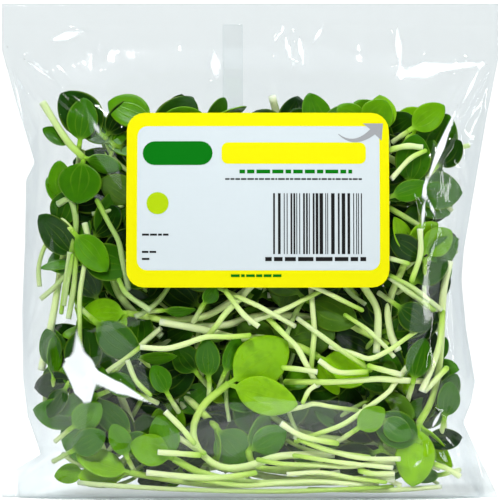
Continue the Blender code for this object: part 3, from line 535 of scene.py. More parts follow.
def arc_stem(collar, heading, bend, length, steps, dive, wave):
    """A stem's points from its cut end to its collar: a gentle arc that dives as it leaves the collar."""
    spot, points = collar, [(collar[0], 0.0, collar[1])]
    for i in range(1, steps + 1):
        heading += bend
        spot = spot - (length / steps) * np.array([math.cos(heading), math.sin(heading)])
        points.append((spot[0], dive * i / steps + wave * math.sin(math.pi * i / steps), spot[1]))
    return np.array(points[::-1])


def random_sprout(rng, facing):
    """A sprout of usual size, lying at random."""
    length = rng.uniform(45, 82)
    collar = np.array([rng.uniform(-66, 66), rng.uniform(8, 132)])
    heading, bend = rng.uniform(0, 2 * math.pi), rng.normal(0, 0.22)
    stem = arc_stem(collar, heading, bend, length, 5, dive=rng.uniform(-3, 8), wave=rng.uniform(0, 4))
    ahead, spread = math.degrees(heading), rng.uniform(35, 75)
    leaves = []
    for side in (-1, 1):
        size = rng.uniform(14, 20)
        leaf = (ahead + side * spread, size, size * rng.uniform(0.55, 0.72), rng.uniform(-45, 45))
        leaves.append(leaf_with_lean(leaf, rng))
    return Sprout(stem, leaves, facing)


def lay_sprouts():
    """All the sprouts: those that show in front, and then those against the back of the bag."""
    rng = np.random.default_rng(SEED)
    heap, sprouts = Heap(), []
    waiting = [front_sprout(row, rng) for row in FRONT_SPROUTS]
    tries = 0
    while waiting or (len(sprouts) < len(FRONT_SPROUTS) + SPROUTS_AT_THE_BACK and tries < MOST_TRIES):
        from_table = bool(waiting)
        sprout = waiting.pop(0) if from_table else random_sprout(rng, facing=-1)
        tries += not from_table
        if slide_in(sprout, heap):
            heap.add(sprout)
            sprouts.append(sprout)
    return sprouts


# Film


def smooth_step(low, high, value):
    t = np.clip((value - low) / (high - low), 0, 1)
    return t * t * (3 - 2 * t)


def pyramids(x, z, creases):
    """The height at (x, z) of creases, each a long low pyramid with four flat faces."""
    total = np.zeros_like(x)
    for cx, cz, heading, half_length, half_width, height in creases:
        c, s = math.cos(math.radians(heading)), math.sin(math.radians(heading))
        along = ((x - cx) * c + (z - cz) * s) / half_length
        beside = ((z - cz) * c - (x - cx) * s) / half_width
        total += height * np.clip(1 - np.abs(along) - np.abs(beside), 0, 1)
    return total


def widened(rows):
    """The rows grown so that each has its own size where it falls to the threshold."""
    grow = 1 / (1 - THRESHOLD)
    return [(*row[:3], row[3] * grow, row[4] * grow, row[5]) for row in rows]


def random_creases(rng):
    creases = []
    for count, xs, zs, heading, spread, lengths, widths, heights in CREASE_FIELDS:
        for _ in range(count):
            turn = heading + rng.uniform(-spread, spread)
            sign = 1 if rng.random() < 0.72 else -0.6
            creases.append((rng.uniform(*xs), rng.uniform(*zs), turn, rng.uniform(*lengths),
                            rng.uniform(*widths), sign * rng.uniform(*heights)))
    return creases


def off_label(x, z):
    """0 on the label, which keeps the film under it flat, and 1 well clear of it."""
    past_x = np.abs(x - LABEL_X) - LABEL_WIDTH / 2
    past_z = np.abs(z - LABEL_Z) - LABEL_HEIGHT / 2
    past = np.hypot(np.clip(past_x, 0, None), np.clip(past_z, 0, None))
    return smooth_step(0.5, 7, past)


def soft_depth(x, z):
    """Half the bag's depth, with the corners of its outline rounded off."""
    steps = np.linspace(-SOFTEN, SOFTEN, 7)
    return sum(half_depth(x, np.clip(z + step, 0, BAG_HEIGHT)) for step in steps) / len(steps)


def film_grid(facing, creases):
    """One face of the bag as rows of points: the smooth belly with its creases pressed out of it."""
    z = np.linspace(0, BAG_HEIGHT, FILM_ROWS)
    turn = np.linspace(-1, 1, FILM_COLUMNS)
    across = 0.55 * np.sin(turn * math.pi / 2) + 0.45 * turn
    z, across = np.meshgrid(z, across, indexing="ij")
    x = across * side_edge(across, z)
    lift = pyramids(x, z, creases)
    if facing < 0:
        lift = lift * off_label(x, z)
    from_edge = smooth_step(0, 5, side_edge(across, z) - np.abs(x))
    from_seal = smooth_step(BAG_HEIGHT, SEAL_BOTTOM - 4, z)
    lift = np.clip(lift, LEAST_INWARD, None) * from_edge * (0.12 + 0.88 * from_seal)
    y = facing * (soft_depth(x, z) + lift)
    return np.stack([x, y, z], axis=-1)


def mesh_object(name, points, faces, smooth=True):
    """A new mesh object from points in millimetres and faces, in the scene's collection."""
    data = bpy.data.meshes.new(name)
    data.from_pydata((np.asarray(points) * MM).tolist(), [], faces)
    data.polygons.foreach_set("use_smooth", [smooth] * len(faces))
    data.update()
    shape = bpy.data.objects.new(name, data)
    bpy.context.scene.collection.objects.link(shape)
    return shape


def dress(piece, material):
    """Gives a piece its material and the body that it rides on."""
    piece.data.materials.append(material)
    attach(piece, "root")
    return piece


def grid_faces(rows, columns, first=0, flip=False):
    corner = first + np.arange(rows - 1)[:, None] * columns + np.arange(columns - 1)[None, :]
    faces = np.stack([corner, corner + 1, corner + columns + 1, corner + columns], axis=-1).reshape(-1, 4)
    return (faces[:, ::-1] if flip else faces).tolist()


def point_values(shape, name, values):
    """Stores one number for each point of the mesh, for its material to read."""
    layer = shape.data.attributes.new(name, "FLOAT", "POINT")
    layer.data.foreach_set("value", np.asarray(values, np.float32))


def add_film(material):
    """The film as one closed skin: front and back share the folded edges, and a strip closes base and top."""
    front = film_grid(-1, list(FRONT_CREASES) + random_creases(np.random.default_rng(FRONT_SEED)))
    back = film_grid(1, random_creases(np.random.default_rng(BACK_SEED)))
    count = FILM_ROWS * FILM_COLUMNS
    faces = grid_faces(FILM_ROWS, FILM_COLUMNS) + grid_faces(FILM_ROWS, FILM_COLUMNS, count, flip=True)
    for row in range(FILM_ROWS - 1):
        left, right = row * FILM_COLUMNS, row * FILM_COLUMNS + FILM_COLUMNS - 1
        faces.append([left, left + FILM_COLUMNS, left + FILM_COLUMNS + count, left + count])
        faces.append([right + FILM_COLUMNS, right, right + count, right + FILM_COLUMNS + count])
    top = (FILM_ROWS - 1) * FILM_COLUMNS
    for column in range(FILM_COLUMNS - 1):
        faces.append([column + 1, column, column + count, column + 1 + count])
        faces.append([top + column, top + column + 1, top + column + 1 + count, top + column + count])
    film = mesh_object("film_skin", np.vstack([front.reshape(-1, 3), back.reshape(-1, 3)]), faces)
    x, z = np.concatenate([front, back]).reshape(-1, 3).T[[0, 2]]
    seal = smooth_step(SEAL_BOTTOM - 0.6, SEAL_BOTTOM + 0.2, z)
    ear = smooth_step(-2, 2, np.abs(x) - belly_edge(x, z)) * (z < EAR_TOP)
    point_values(film, "milky", SEAL_MILK * seal + EAR_MILK * ear)
    # Painted highlights and painted reflections, as white on the film's front where folds would mirror the
    # light
    in_front = np.arange(len(x)) < count
    point_values(film, "painted_glint", in_front * pyramids(x, z, widened(PAINTED_GLINTS)))
    point_values(film, "painted_veil", in_front * pyramids(x, z, widened(PAINTED_VEILS)))
    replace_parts(dress(film, material), "film_bag")


def add_lap_seam(material):
    """The strip up the back where the film's edges lap, a second layer that shows as a faint band."""
    zs = np.linspace(LAP_SEAM_FOOT, SEAL_BOTTOM, 120)
    xs = LAP_SEAM_X + LAP_SEAM_WIDTH * np.linspace(-0.5, 0.5, 7)
    creases = random_creases(np.random.default_rng(BACK_SEED))
    z, x = np.meshgrid(zs, xs, indexing="ij")
    lift = np.clip(pyramids(x, z, creases), LEAST_INWARD, None) * smooth_step(BAG_HEIGHT, SEAL_BOTTOM - 4, z)
    proud = LAP_SEAM_THICK * np.array([0.3, 1, 1, 1, 1, 1, 0.3])
    outer = np.stack([x, soft_depth(x, z) + lift + proud, z], axis=-1)
    inner = outer - np.array([0, 0.1, 0])
    rings = np.concatenate([outer, inner[:, ::-1]], axis=1)
    seam = mesh_object("film_lap_seam", rings.reshape(-1, 3), tube_faces(*rings.shape[:2]))
    point_values(seam, "milky", np.full(len(seam.data.vertices), SEAL_MILK))
    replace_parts(dress(seam, material), "film_bag")


def tube_faces(rings, sides, first=0):
    """The faces of a closed tube of rings, with a face over each end."""
    i, j = np.meshgrid(np.arange(rings - 1), np.arange(sides), indexing="ij")
    here, beside = first + i * sides + j, first + i * sides + (j + 1) % sides
    faces = np.stack([here, beside, beside + sides, here + sides], axis=-1).reshape(-1, 4).tolist()
    last = first + (rings - 1) * sides
    return faces + [list(range(first + sides - 1, first - 1, -1)), list(range(last, last + sides))]


# Label


def on_label(x, z, proud):
    """Points that lie proud of the label's front by so many millimetres."""
    y = -soft_depth(x, z) - LABEL_GAP - LABEL_THICK - proud
    return np.stack([x, y, z], axis=-1)


def slab(x, z, low, high, first=0):
    """The points and faces of a thin sheet over a grid of (x, z) on the label, from low to high above it."""
    rings = np.concatenate([on_label(x, z, high), on_label(x, z, low)[:, ::-1]], axis=1)
    rows, sides = rings.shape[:2]
    faces = tube_faces(rows, sides, first)[:-2]
    for row in (0, rows - 1):
        start = first + row * sides
        for i in range(sides // 2 - 1):
            face = [start + i, start + i + 1, start + sides - 2 - i, start + sides - 1 - i]
            faces.append(face[::-1] if row == 0 else face)
    return rings.reshape(-1, 3), faces


def rounded_patch(name, place, size, corner, low, high, material, grid):
    """A card or a printed area with round corners, from low to high above the label's curve."""
    rows, columns = grid
    half, up = size[0] / 2, size[1] / 2
    edge = half - corner + corner * np.sin(np.linspace(0, math.pi / 2, 6))
    middle = np.linspace(-(half - corner), half - corner, columns)[1:-1]
    xs = np.concatenate([-edge[::-1], middle, edge])
    past = np.clip(np.abs(xs) - (half - corner), 0, corner)
    reach = up - corner + np.sqrt(np.clip(corner**2 - past**2, 0, None))
    x = np.broadcast_to(xs + (LABEL_X + place[0]), (rows, len(xs)))
    z = (LABEL_Z + place[1]) + np.linspace(-1, 1, rows)[:, None] * reach[None, :]
    return dress(mesh_object(name, *slab(x, z, low, high), smooth=False), material)


def printed(name, boxes, material):
    """Plain printed bars as one thin piece. Each box is (left, right, bottom, top) on the label."""
    points, faces = [], []
    for left, right, bottom, top in boxes:
        rows = max(2, int((top - bottom) / PRINT_STEP) + 1)
        columns = max(2, int((right - left) / PRINT_STEP) + 1)
        z, x = np.meshgrid(np.linspace(bottom, top, rows), np.linspace(left, right, columns), indexing="ij")
        sheet = slab(x + LABEL_X, z + LABEL_Z, 0.0, PRINT_TOP, sum(len(p) for p in points))
        points.append(sheet[0])
        faces += sheet[1]
    dress(mesh_object(name, np.vstack(points), faces, smooth=False), material)


def flat_shape(name, outline, material):
    """A thin printed shape with this outline, given as (x, z) from the label's middle."""
    x, z = np.array(outline).T + np.array([[LABEL_X], [LABEL_Z]])
    rings = np.stack([on_label(x, z, PRINT_TOP), on_label(x, z, PANEL_TOP)])
    shape = mesh_object(name, rings.reshape(-1, 3), tube_faces(2, len(x)), smooth=False)
    dress(shape, material)


def arrow_outline():
    """A curved arrow: a band that widens along a bend and ends in a plain head."""
    start, bend, end = np.array([27.6, 22.6]), np.array([33.0, 17.8]), np.array([39.4, 23.4])
    head = [(42.5, 20.4), (43.0, 26.3), (36.1, 26.3)]
    share = np.linspace(0, 1, 10)[:, None]
    middle = start * (1 - share) ** 2 + 2 * bend * share * (1 - share) + end * share**2
    ahead = 2 * (bend - start) * (1 - share) + 2 * (end - bend) * share
    beside = np.stack([-ahead[:, 1], ahead[:, 0]], axis=1) / np.linalg.norm(ahead, axis=1)[:, None]
    wide = beside * (0.1 + 1.1 * share)
    return [tuple(p) for p in middle - wide] + head + [tuple(p) for p in (middle + wide)[::-1]]


def words(rng, left, right, bottom, top):
    """A line of small blocks of uneven length, as wide as words, that say nothing."""
    boxes, at = [], left
    height = top - bottom
    while at < right - height:
        width = min(height * rng.uniform(1.2, 4.2), right - at)
        boxes.append((at, at + width, bottom, top))
        at += width + 0.55 * height
    return boxes


def bar_block(rng, left, right, bottom, top):
    """Upright bars of uneven width that encode nothing."""
    boxes, at = [], left
    while at < right - BAR_UNIT:
        width = BAR_UNIT * rng.choice([1, 1, 2, 2, 3, 4], p=[0.3, 0.1, 0.25, 0.1, 0.15, 0.1])
        boxes.append((at, min(at + 0.92 * width, right), bottom, top))
        at += width + BAR_UNIT * rng.choice([1, 1, 2, 3])
    return boxes


def add_label(looks):
    """The yellow card with its pale panel, and plain printed shapes in the places of the words."""
    card = rounded_patch("label_card", (0, 0), (LABEL_WIDTH, LABEL_HEIGHT), LABEL_CORNER, -LABEL_THICK, 0,
                         looks["label_yellow"], (24, 40))
    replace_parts(card, "label")
    rounded_patch("label_panel", (0.2, 0.6), (83, 49.4), 3.4, 0, PANEL_TOP, looks["label_panel"], (20, 36))
    for name, place, size, corner, look, grid in PRINTED_BLOCKS:
        rounded_patch(name, place, size, corner, PANEL_TOP, PRINT_TOP, looks[look], grid)
    flat_shape("label_arrow", arrow_outline(), looks["print_grey"])
    rng = np.random.default_rng(PRINT_SEED)
    printed("label_green_line", words(rng, *GREEN_LINE), looks["print_green"])
    small = sum((words(rng, *line) for line in SMALL_LINES), [])
    bars = bar_block(rng, *BAR_BLOCK) + words(rng, *BAR_LINE)
    printed("label_small_lines", small, looks["print_dark"])
    printed("label_bars", bars, looks["print_dark"])
    printed("label_bottom_line", words(rng, *BOTTOM_LINE), looks["print_green"])


# Sprouts, finer than the model's


def stem_rings(sprout, rng):
    """The stem as rings of points: a tube that wavers a little in width, with a blunt cut end."""
    path = sprout.stem_points(STEM_RINGS)
    end = path[-1] - path[-2]
    path = np.vstack([path, path[-1] + 0.5 * end / np.linalg.norm(end)])
    ahead = np.gradient(path, axis=0)
    ahead /= np.linalg.norm(ahead, axis=1)[:, None]
    side = np.cross(ahead, np.array([0, 1.0, 0.12]))
    side /= np.linalg.norm(side, axis=1)[:, None]
    up = np.cross(side, ahead)
    share = np.linspace(0, 1, len(path))
    radius = STEM_RADIUS_CUT + (STEM_RADIUS_COLLAR - STEM_RADIUS_CUT) * share
    radius *= sprout.girth * (1 + 0.05 * np.sin(share * rng.uniform(8, 16) + rng.uniform(0, 6)))
    radius[-1] *= 0.55
    turn = np.linspace(0, 2 * math.pi, STEM_SIDES, endpoint=False)
    ring = side[:, None] * np.cos(turn)[None, :, None] + up[:, None] * np.sin(turn)[None, :, None]
    return path[:, None] + ring * radius[:, None, None], share


def leaf_rings(sprout, leaf, rng):
    """A leaf as closed rings of points round its edge: fleshy, a little waved, with a rounded rim."""
    u = np.concatenate([np.linspace(-0.05, 0.2, 4), np.linspace(0.2, 1, LEAF_RINGS - 4 + 1)[1:]])
    u[-1] = 0.998
    v = np.sin(np.linspace(-1, 1, LEAF_COLUMNS) * math.pi / 2)
    us, vs = np.meshgrid(u, v, indexing="ij")
    middle = sprout.leaf_point(leaf, us, vs)
    step = 0.01
    along = sprout.leaf_point(leaf, us + step, vs * 0.98) - sprout.leaf_point(leaf, us - step, vs * 0.98)
    across = sprout.leaf_point(leaf, us, vs * 0.5 + 0.3) - sprout.leaf_point(leaf, us, vs * 0.5 - 0.3)
    normal = np.cross(along, across)
    normal /= np.linalg.norm(normal, axis=-1)[..., None] + 1e-9
    if normal[..., 1].mean() * sprout.facing > 0:
        normal = -normal
    high, long, skew, start = rng.uniform(0.1, 0.5), rng.uniform(3, 7), rng.uniform(-2, 2), rng.uniform(0, 6)
    wave = high * np.sin(us * long + vs * skew + start)
    middle = middle + normal * (wave * np.clip(us, 0, 1))[..., None]
    thick = BLADE_HALF_THICK * 0.85 + PETIOLE_EXTRA * np.clip(1 - us / 0.3, 0, 1)
    thick = sprout.girth * thick * np.sqrt(np.clip(1 - vs**4, 0, 1))
    half = (thick * np.clip((1.03 - us) / 0.12, 0.25, 1))[..., None]
    top, under = middle + normal * half, middle - normal * half
    rings = np.concatenate([top, under[:, -2:0:-1]], axis=1)
    side = np.concatenate([vs, vs[:, -2:0:-1]], axis=1)
    below = np.concatenate([np.zeros_like(vs), np.ones_like(vs[:, -2:0:-1])], axis=1)
    return rings, np.broadcast_to(u[:, None], side.shape), side, below


def add_greens(name, sprouts, material, rng):
    """One mesh of whole sprouts, whose points know how far along they are, how far across and how pale."""
    points, faces, values = [], [], []
    for sprout in sprouts:
        rings, share = stem_rings(sprout, rng)
        along = np.repeat(share[:, None], STEM_SIDES, axis=1) * 0.999
        shapes = [(rings, along, np.zeros_like(along), np.zeros_like(along), sprout.tone)]
        for leaf in sprout.leaves:
            rings, u, v, below = leaf_rings(sprout, leaf, rng)
            shapes.append((rings, u + 1, v, below, np.clip(sprout.tone + rng.normal(0, 0.12), 0, 1)))
        for shape, u, v, below, pale in shapes:
            faces += tube_faces(*shape.shape[:2], sum(len(p) for p in points))
            points.append(shape.reshape(-1, 3))
            values.append(np.stack([u.ravel(), v.ravel(), below.ravel(), np.full(u.size, pale)]))
    greens = mesh_object(name, np.vstack(points), faces)
    for key, numbers in zip(("along", "across", "under", "tone"), np.concatenate(values, axis=1)):
        point_values(greens, key, numbers)
    return dress(greens, material)


def fill_sprout(rng, field):
    """A slimmer sprout for one field of the filling. Its stem dives behind the others from its collar."""
    _, facing, xs, zs, heading, spread, lengths, sizes = field
    length = rng.uniform(*lengths)
    turned = math.radians(heading + rng.uniform(-spread, spread))
    bend, dive, wave = rng.normal(0, 0.2), rng.uniform(0, 7), rng.uniform(0, 2)
    stem = arc_stem(np.array([rng.uniform(*xs), rng.uniform(*zs)]), turned, bend, length, 4, dive, wave)
    ahead, part = math.degrees(turned), rng.uniform(30, 80)
    leaves = []
    for side in (-1, 1):
        size = rng.uniform(*sizes)
        shape = (size, size * rng.uniform(0.54, 0.74), rng.uniform(-30, 30), rng.uniform(-12, 14))
        leaves.append((ahead + side * part, *shape, rng.uniform(-0.5, 2.5)))
    return Sprout(stem, leaves, facing, rng.uniform(*FILL_GIRTH))


def lone_leaf(row, rng):
    """One leaf of a sprout whose stem dives out of sight behind it."""
    x, z, heading, length, width, roll, tone = row
    turn = math.radians(heading)
    stem = [(x - back * math.cos(turn), 0.8 * back, z - back * math.sin(turn)) for back in (7.0, 3.5, 0.0)]
    leaf = (heading, length, width, roll, rng.uniform(-6, 8), rng.uniform(-0.5, 2.0))
    return Sprout(np.array(stem), [leaf], 1, LEAF_GIRTH, tone)


def lone_stem(row, rng, run_on):
    """A slim stem whose ends may run on behind the rest. Painted light makes those low in the bag the palest.
    """
    points = np.array(row if rng.random() < 0.5 else row[::-1], float)
    ends = []
    for end, inner in ((points[0], points[1]), (points[-1], points[-2])):
        ahead = end - inner
        ends.append(end + run_on * ahead / np.linalg.norm(ahead))
    x, z = np.vstack([ends[0], points, ends[1]]).T if run_on else points.T
    depth = np.zeros(len(x))
    depth[[0, -1]] = RUN_DEEP if run_on else 0
    # Painted light and shade: paler low in the bag, darker at the far left
    lit = 0.75 - 0.004 * row[0][1] - 0.3 * (row[0][0] < -40)
    girth, tone = rng.uniform(*EXTRA_GIRTH), lit + rng.uniform(-0.2, 0.2)
    return Sprout(np.stack([x, depth, z], axis=1), [], 1, girth, tone)


def extra_sprouts(laid):
    """Leaves and stems in their places against the film, each in the first gap among those already there."""
    rng = np.random.default_rng(FILL_SEED)
    heap, extra = Heap(laid), []

    def try_in(choices, deepest):
        for sprout in choices:
            if slide_in(sprout, heap, FILL_CLEARANCE) and sprout.back < lowest(sprout) + deepest:
                heap.add(sprout)
                extra.append(sprout)
                return

    for row in EXTRA_LEAVES:
        try_in([lone_leaf(row, rng)], LEAF_DEEP)
    for row in EXTRA_STEMS:
        try_in([lone_stem(row, rng, RUN_ON), lone_stem(row, rng, 0)], STEM_DEEP)
    return extra


def behind(sprout, heap):
    """How far the sprout must slide to lie behind all of the heap that it crosses in view."""
    ahead, reach, _ = heap.overlaps(*sprout.samples())
    return np.max(ahead * sprout.facing + reach * 0.6, initial=-math.inf)


def fill_bag(front):
    """More sprouts, laid by the same rule behind those in front, one list for each field."""
    rng = np.random.default_rng(FILL_SEED)
    fore, heap = Heap(sprout for sprout in front if sprout.facing > 0), Heap(front)
    groups = []
    for field in FILL_FIELDS:
        group = []
        for _ in range(field[0]):
            sprout = fill_sprout(rng, field)
            start = rng.uniform(*FILL_START)
            if field[1] > 0:
                start = max(start, behind(sprout, fore) - lowest(sprout))
            if slide_in(sprout, heap, FILL_CLEARANCE, start):
                heap.add(sprout)
                sprout.tone = tone_at_depth(sprout, rng)
                group.append(sprout)
        groups.append(group)
    return groups + [core_sprouts(rng)]


def lowest(sprout):
    return room_in_bag(sprout, *sprout.samples())[0]


def tone_at_depth(sprout, rng):
    """Painted shade: paler near the film and darker further in."""
    points, _ = sprout.samples()
    depth = np.mean(half_depth(points[:, 0], points[:, 2]) + sprout.facing * points[:, 1])
    return float(np.clip(rng.normal(PALE_AT_FILM - DARKER_PER_MM * depth, TONE_SPREAD), 0, 1))


def core_sprouts(rng):
    """Sprouts heaped in the middle of the bag, where those in front hide how they cross."""
    group = []
    for _ in range(CORE_TRIES):
        sprout = fill_sprout(rng, CORE_FIELD)
        # The darkest tones: painted shade deep in the middle of the bag
        sprout.tone = rng.uniform(0, 0.2)
        low, high = room_in_bag(sprout, *sprout.samples())
        if low < high:
            sprout.back = low + rng.uniform(0.35, 0.65) * (high - low)
            group.append(sprout)
    return group


def add_sprouts(material):
    sprouts = lay_sprouts()
    rng = np.random.default_rng(SEED)
    for number, sprout in enumerate(sprouts, 1):
        sprout.tone = float(FRONT_TONES.get(number, np.clip(rng.normal(0.45, 0.18), 0, 1)))
        piece = add_greens(f"greens_{number:02d}", [sprout], material, rng)
        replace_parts(piece, f"sprout_{number:02d}")
    extra = extra_sprouts(sprouts)
    add_greens("greens_extra", extra, material, rng)
    for number, group in enumerate(filter(None, fill_bag(sprouts + extra)), 1):
        add_greens(f"greens_fill_{number}", group, material, rng)


# Materials


class Nodes:
    """The node tree of a material or a world, with short calls to add nodes and join them."""

    def __init__(self, owner, output="ShaderNodeOutputMaterial"):
        owner.use_nodes = True
        self.owner, self.tree = owner, owner.node_tree
        self.tree.nodes.clear()
        self.output = self.add(output)

    def add(self, kind, settings=None, **inputs):
        """A node of this kind. Its inputs, by socket name or number, are values or other nodes' outputs."""
        node = self.tree.nodes.new(kind)
        for key, value in (settings or {}).items():
            setattr(node, key, value)
        for key, value in inputs.items():
            numbered = key[0] == "i" and key[1:].isdigit()
            self.put(node.inputs[int(key[1:]) if numbered else key.replace("_", " ")], value)
        return node

    def put(self, socket, value):
        if isinstance(value, bpy.types.NodeSocket):
            self.tree.links.new(value, socket)
        else:
            socket.default_value = value

    def math(self, operation, a, b=0.0, clamp=False):
        return self.add("ShaderNodeMath", {"operation": operation, "use_clamp": clamp}, i0=a, i1=b).outputs[0]

    def times(self, a, b):
        return self.math("MULTIPLY", a, b)

    def plus(self, a, b, clamp=False):
        return self.math("ADD", a, b, clamp)

    def less(self, a, b):
        return self.math("SUBTRACT", a, b)

    def size(self, a):
        return self.math("ABSOLUTE", a)

    def mix(self, share, a, b):
        return self.add("ShaderNodeMix", {"data_type": "RGBA"}, i0=share, i6=a, i7=b).outputs[2]

    def step(self, low, high, value):
        smooth = {"interpolation_type": "SMOOTHSTEP"}
        return self.add("ShaderNodeMapRange", smooth, i0=value, i1=low, i2=high, i3=0.0, i4=1.0).outputs[0]

    def number(self, name):
        return self.add("ShaderNodeAttribute", {"attribute_name": name}).outputs["Fac"]

    def noise(self, scale):
        where = self.add("ShaderNodeTexCoord").outputs["Object"]
        return self.add("ShaderNodeTexNoise", Vector=where, Scale=scale, Detail=3.0).outputs["Fac"]

    def bump(self, strength, distance, height):
        return self.add("ShaderNodeBump", Strength=strength, Distance=distance, Height=height).outputs[0]

    def finish(self, shader):
        self.put(self.output.inputs["Surface"], shader.outputs[0])
        return self.owner


def colour(red, green, blue):
    """A colour from screen values of 0 to 255."""
    def linear(value):
        value /= 255
        return value / 12.92 if value < 0.04045 else ((value + 0.055) / 1.055) ** 2.4
    return (linear(red), linear(green), linear(blue), 1.0)


def film_material(name, face, edge):
    """Clear film, its tint deeper from face to edge as it turns away, milky where it doubles, with painted
    glints and veils.
    """
    m = Nodes(bpy.data.materials.new(name))
    fine = m.bump(0.12, 0.0004, m.noise(420.0))
    facing = m.add("ShaderNodeLayerWeight", Blend=0.5, Normal=fine).outputs["Facing"]
    turned = m.math("POWER", m.math("MULTIPLY", facing, 1.8, clamp=True), 0.8)
    clear = m.add("ShaderNodeBsdfTransparent", Color=m.mix(turned, face, edge))
    gloss = m.add("ShaderNodeBsdfGlossy", Color=(1, 1, 1, 1), Roughness=GLOSS_ROUGHNESS, Normal=fine)
    gloss.distribution = "GGX"
    haze = m.add("ShaderNodeBsdfDiffuse", Color=HAZE)
    share = m.plus(m.times(m.math("POWER", facing, 5.0), GLOSS_GRAZING), GLOSS_FACING, clamp=True)
    # Painted highlight and painted reflection: glints and veils turn the film to white haze
    painted_glint = m.step(THRESHOLD - 0.1, THRESHOLD + 0.14, m.number("painted_glint"))
    painted_veil = m.step(THRESHOLD - 0.02, THRESHOLD + 0.02, m.number("painted_veil"))
    milk_and_painted_light = m.plus(m.times(m.number("milky"), MILK_SHARE), m.times(painted_glint, PAINTED_GLINT_SHARE))
    milk_and_painted_light = m.plus(milk_and_painted_light, m.times(painted_veil, PAINTED_VEIL_SHARE), clamp=True)
    body = m.add("ShaderNodeMixShader", i0=milk_and_painted_light, i1=clear.outputs[0], i2=haze.outputs[0])
    return m.finish(m.add("ShaderNodeMixShader", i0=share, i1=body.outputs[0], i2=gloss.outputs[0]))


def stem_shade(m, along, tone):
    """Stems are pale and watery at the cut end, greener at the collar, and darker at a low tone (painted
    shade deep in).
    """
    ramp = m.add("ShaderNodeValToRGB", Fac=along)
    stops = ramp.color_ramp.elements
    for stop, (place, shade) in zip(stops, (STEM_SHADES[0], STEM_SHADES[-1])):
        stop.position, stop.color = place, colour(*shade)
    for place, shade in STEM_SHADES[1:-1]:
        stops.new(place).color = colour(*shade)
    return m.mix(m.step(0.6, -0.5, tone), ramp.outputs[0], colour(*STEM_DARK))


def leaf_veins(m, u, across):
    """1 on a leaf's three veins: one down its middle and one bowed each side. They fade towards its tip."""
    bow = m.times(m.math("SINE", m.times(m.math("POWER", m.size(u), 0.8), 3.0)), VEIN_BOW)
    nearest = m.math("MINIMUM", m.size(across), m.size(m.less(m.size(across), bow)))
    return m.times(m.less(1.0, m.step(0.0, VEIN_HALF, nearest)), m.less(1.0, m.step(0.45, 0.95, u)))


def leaf_shade(m, across, under, tone, veins, mottle):
    """A leaf's green, deep or bright by its tone, with paler veins, a painted rim highlight and a paler
    underside.
    """
    blade = m.mix(m.step(0.0, 0.4, tone), colour(*LEAF_DEEPEST), colour(*LEAF_GREEN))
    blade = m.mix(m.step(0.3, 1.0, tone), blade, colour(*LEAF_BRIGHT))
    blade = m.mix(m.times(under, UNDER_SHARE), blade, colour(*LEAF_UNDER))
    # Painted highlight along the leaf's rim
    rim_highlight = m.step(0.86, 1.0, m.size(across))
    light = m.plus(m.times(veins, VEIN_LIGHT), m.times(rim_highlight, PAINTED_RIM_HIGHLIGHT), clamp=True)
    blade = m.mix(light, blade, colour(*PALE_VEIN_AND_RIM_HIGHLIGHT))
    return m.mix(m.times(m.step(0.42, 0.7, mottle), MOTTLE_SHARE), blade, colour(*LEAF_MOTTLE))


def greens_material():
    """Sprouts. The value along is 0 to 1 up a stem, and 1 to 2 out along a leaf."""
    m = Nodes(bpy.data.materials.new("sprout_greens"))
    along, across, under, tone = (m.number(n) for n in ("along", "across", "under", "tone"))
    mottle = m.noise(260.0)
    veins = leaf_veins(m, m.less(along, 1.0), across)
    blade = leaf_shade(m, across, under, tone, veins, mottle)
    shade = m.mix(m.step(1.02, 1.22, along), stem_shade(m, along, tone), blade)
    bump = m.bump(0.35, 0.0005, m.plus(m.times(veins, -0.35), m.times(mottle, 0.5)))
    rough = m.plus(0.22, m.times(mottle, 0.16))
    skin = m.add("ShaderNodeBsdfPrincipled", Base_Color=shade, Roughness=rough, Normal=bump,
                 Specular_IOR_Level=0.2, Subsurface_Weight=0.12, Subsurface_Radius=(0.6, 1.0, 0.25),
                 Subsurface_Scale=0.0016)
    return m.finish(skin)


def paper_material(name, shade):
    """Matt printed paper with the faint unevenness of its coating."""
    m = Nodes(bpy.data.materials.new(name))
    grain = m.noise(900.0)
    bump = m.bump(0.06, 0.0002, grain)
    dull = m.mix(m.times(grain, 0.1), shade, tuple(0.8 * part for part in shade[:3]) + (1.0,))
    rough = m.plus(0.76, m.times(grain, 0.08))
    return m.finish(m.add("ShaderNodeBsdfPrincipled", Base_Color=dull, Roughness=rough, Normal=bump,
                          Specular_IOR_Level=0.1))


# Stage, light and camera


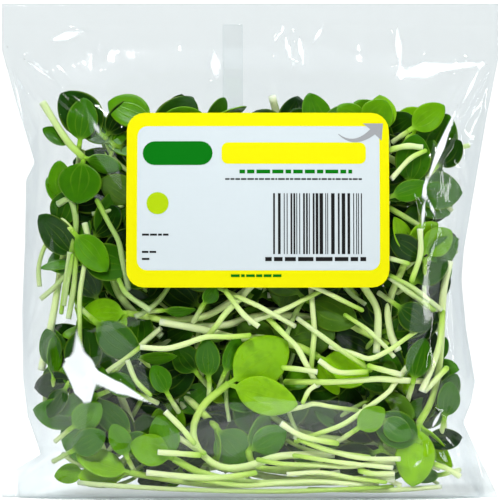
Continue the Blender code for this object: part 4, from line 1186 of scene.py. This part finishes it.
def add_stage():
    """A pale floor that curves up behind into a backdrop. The film doesn't mirror its far front."""
    turn = np.linspace(0, math.pi / 2, 13)
    ys = [FLOOR_SPLIT, *(BACKDROP_Y - COVE + COVE * np.sin(turn)), BACKDROP_Y]
    zs = [0, *(COVE - COVE * np.cos(turn)), STAGE_REACH]
    pale = Nodes(bpy.data.materials.new("pale_floor"))
    pale = pale.finish(pale.add("ShaderNodeBsdfDiffuse", Color=STAGE_SHADE))
    for name, line in (("floor", list(zip(ys, zs))), ("floor_front", [(-STAGE_REACH, 0), (FLOOR_SPLIT, 0)])):
        points = [(x, y, z) for y, z in line for x in (-STAGE_REACH, STAGE_REACH)]
        floor = mesh_object(name, points, grid_faces(len(line), 2))
        floor.data.materials.append(pale)
        floor.visible_glossy = name == "floor"


def add_light(name, place, aim, size, power, mirrored):
    data = bpy.data.lights.new(name, "AREA")
    data.shape = "RECTANGLE"
    data.size, data.size_y = size
    data.energy = power
    lamp = bpy.data.objects.new(name, data)
    lamp.location = place
    lamp.visible_glossy = mirrored
    lamp.rotation_euler = (Vector(aim) - Vector(place)).to_track_quat("-Z", "Y").to_euler()
    bpy.context.scene.collection.objects.link(lamp)


def add_world():
    """A studio round the bag: bright behind it, dark behind the camera so that the film stays clear."""
    world = bpy.data.worlds.new("studio")
    m = Nodes(world, "ShaderNodeOutputWorld")
    back = m.add("ShaderNodeSeparateXYZ", i0=m.add("ShaderNodeTexCoord").outputs["Generated"]).outputs["Y"]
    bright = m.add("ShaderNodeMapRange", i0=back, i1=-0.4, i2=0.5, i3=0.01, i4=0.6).outputs[0]
    seen = m.add("ShaderNodeLightPath").outputs["Is Camera Ray"]
    m.finish(m.add("ShaderNodeBackground", Color=SKY, Strength=m.math("MAXIMUM", bright, seen)))
    bpy.context.scene.world = world


def add_lights():
    for lamp in LAMPS:
        add_light(*lamp)
    add_world()
    bpy.context.scene.view_settings.view_transform = "Standard"


def add_camera():
    """Level, in front of the middle of the bag, with the photograph's frame across it there."""
    data = bpy.data.cameras.new("camera")
    data.sensor_width = SENSOR
    data.lens = SENSOR * DISTANCE / FRAME_WIDTH
    camera = bpy.data.objects.new("camera", data)
    camera.location = (0, -DISTANCE, EYE_HEIGHT)
    camera.rotation_euler = (math.pi / 2, 0, 0)
    bpy.context.scene.collection.objects.link(camera)
    bpy.context.scene.camera = camera


def main():
    add_camera()
    add_stage()
    add_lights()
    add_film(film_material("clear_film", *FILM_TINTS))
    add_lap_seam(film_material("clear_strip", *STRIP_TINTS))
    add_label({name: paper_material(name, colour(*shade)) for name, shade in LABEL_LOOKS.items()})
    add_sprouts(greens_material())


main()
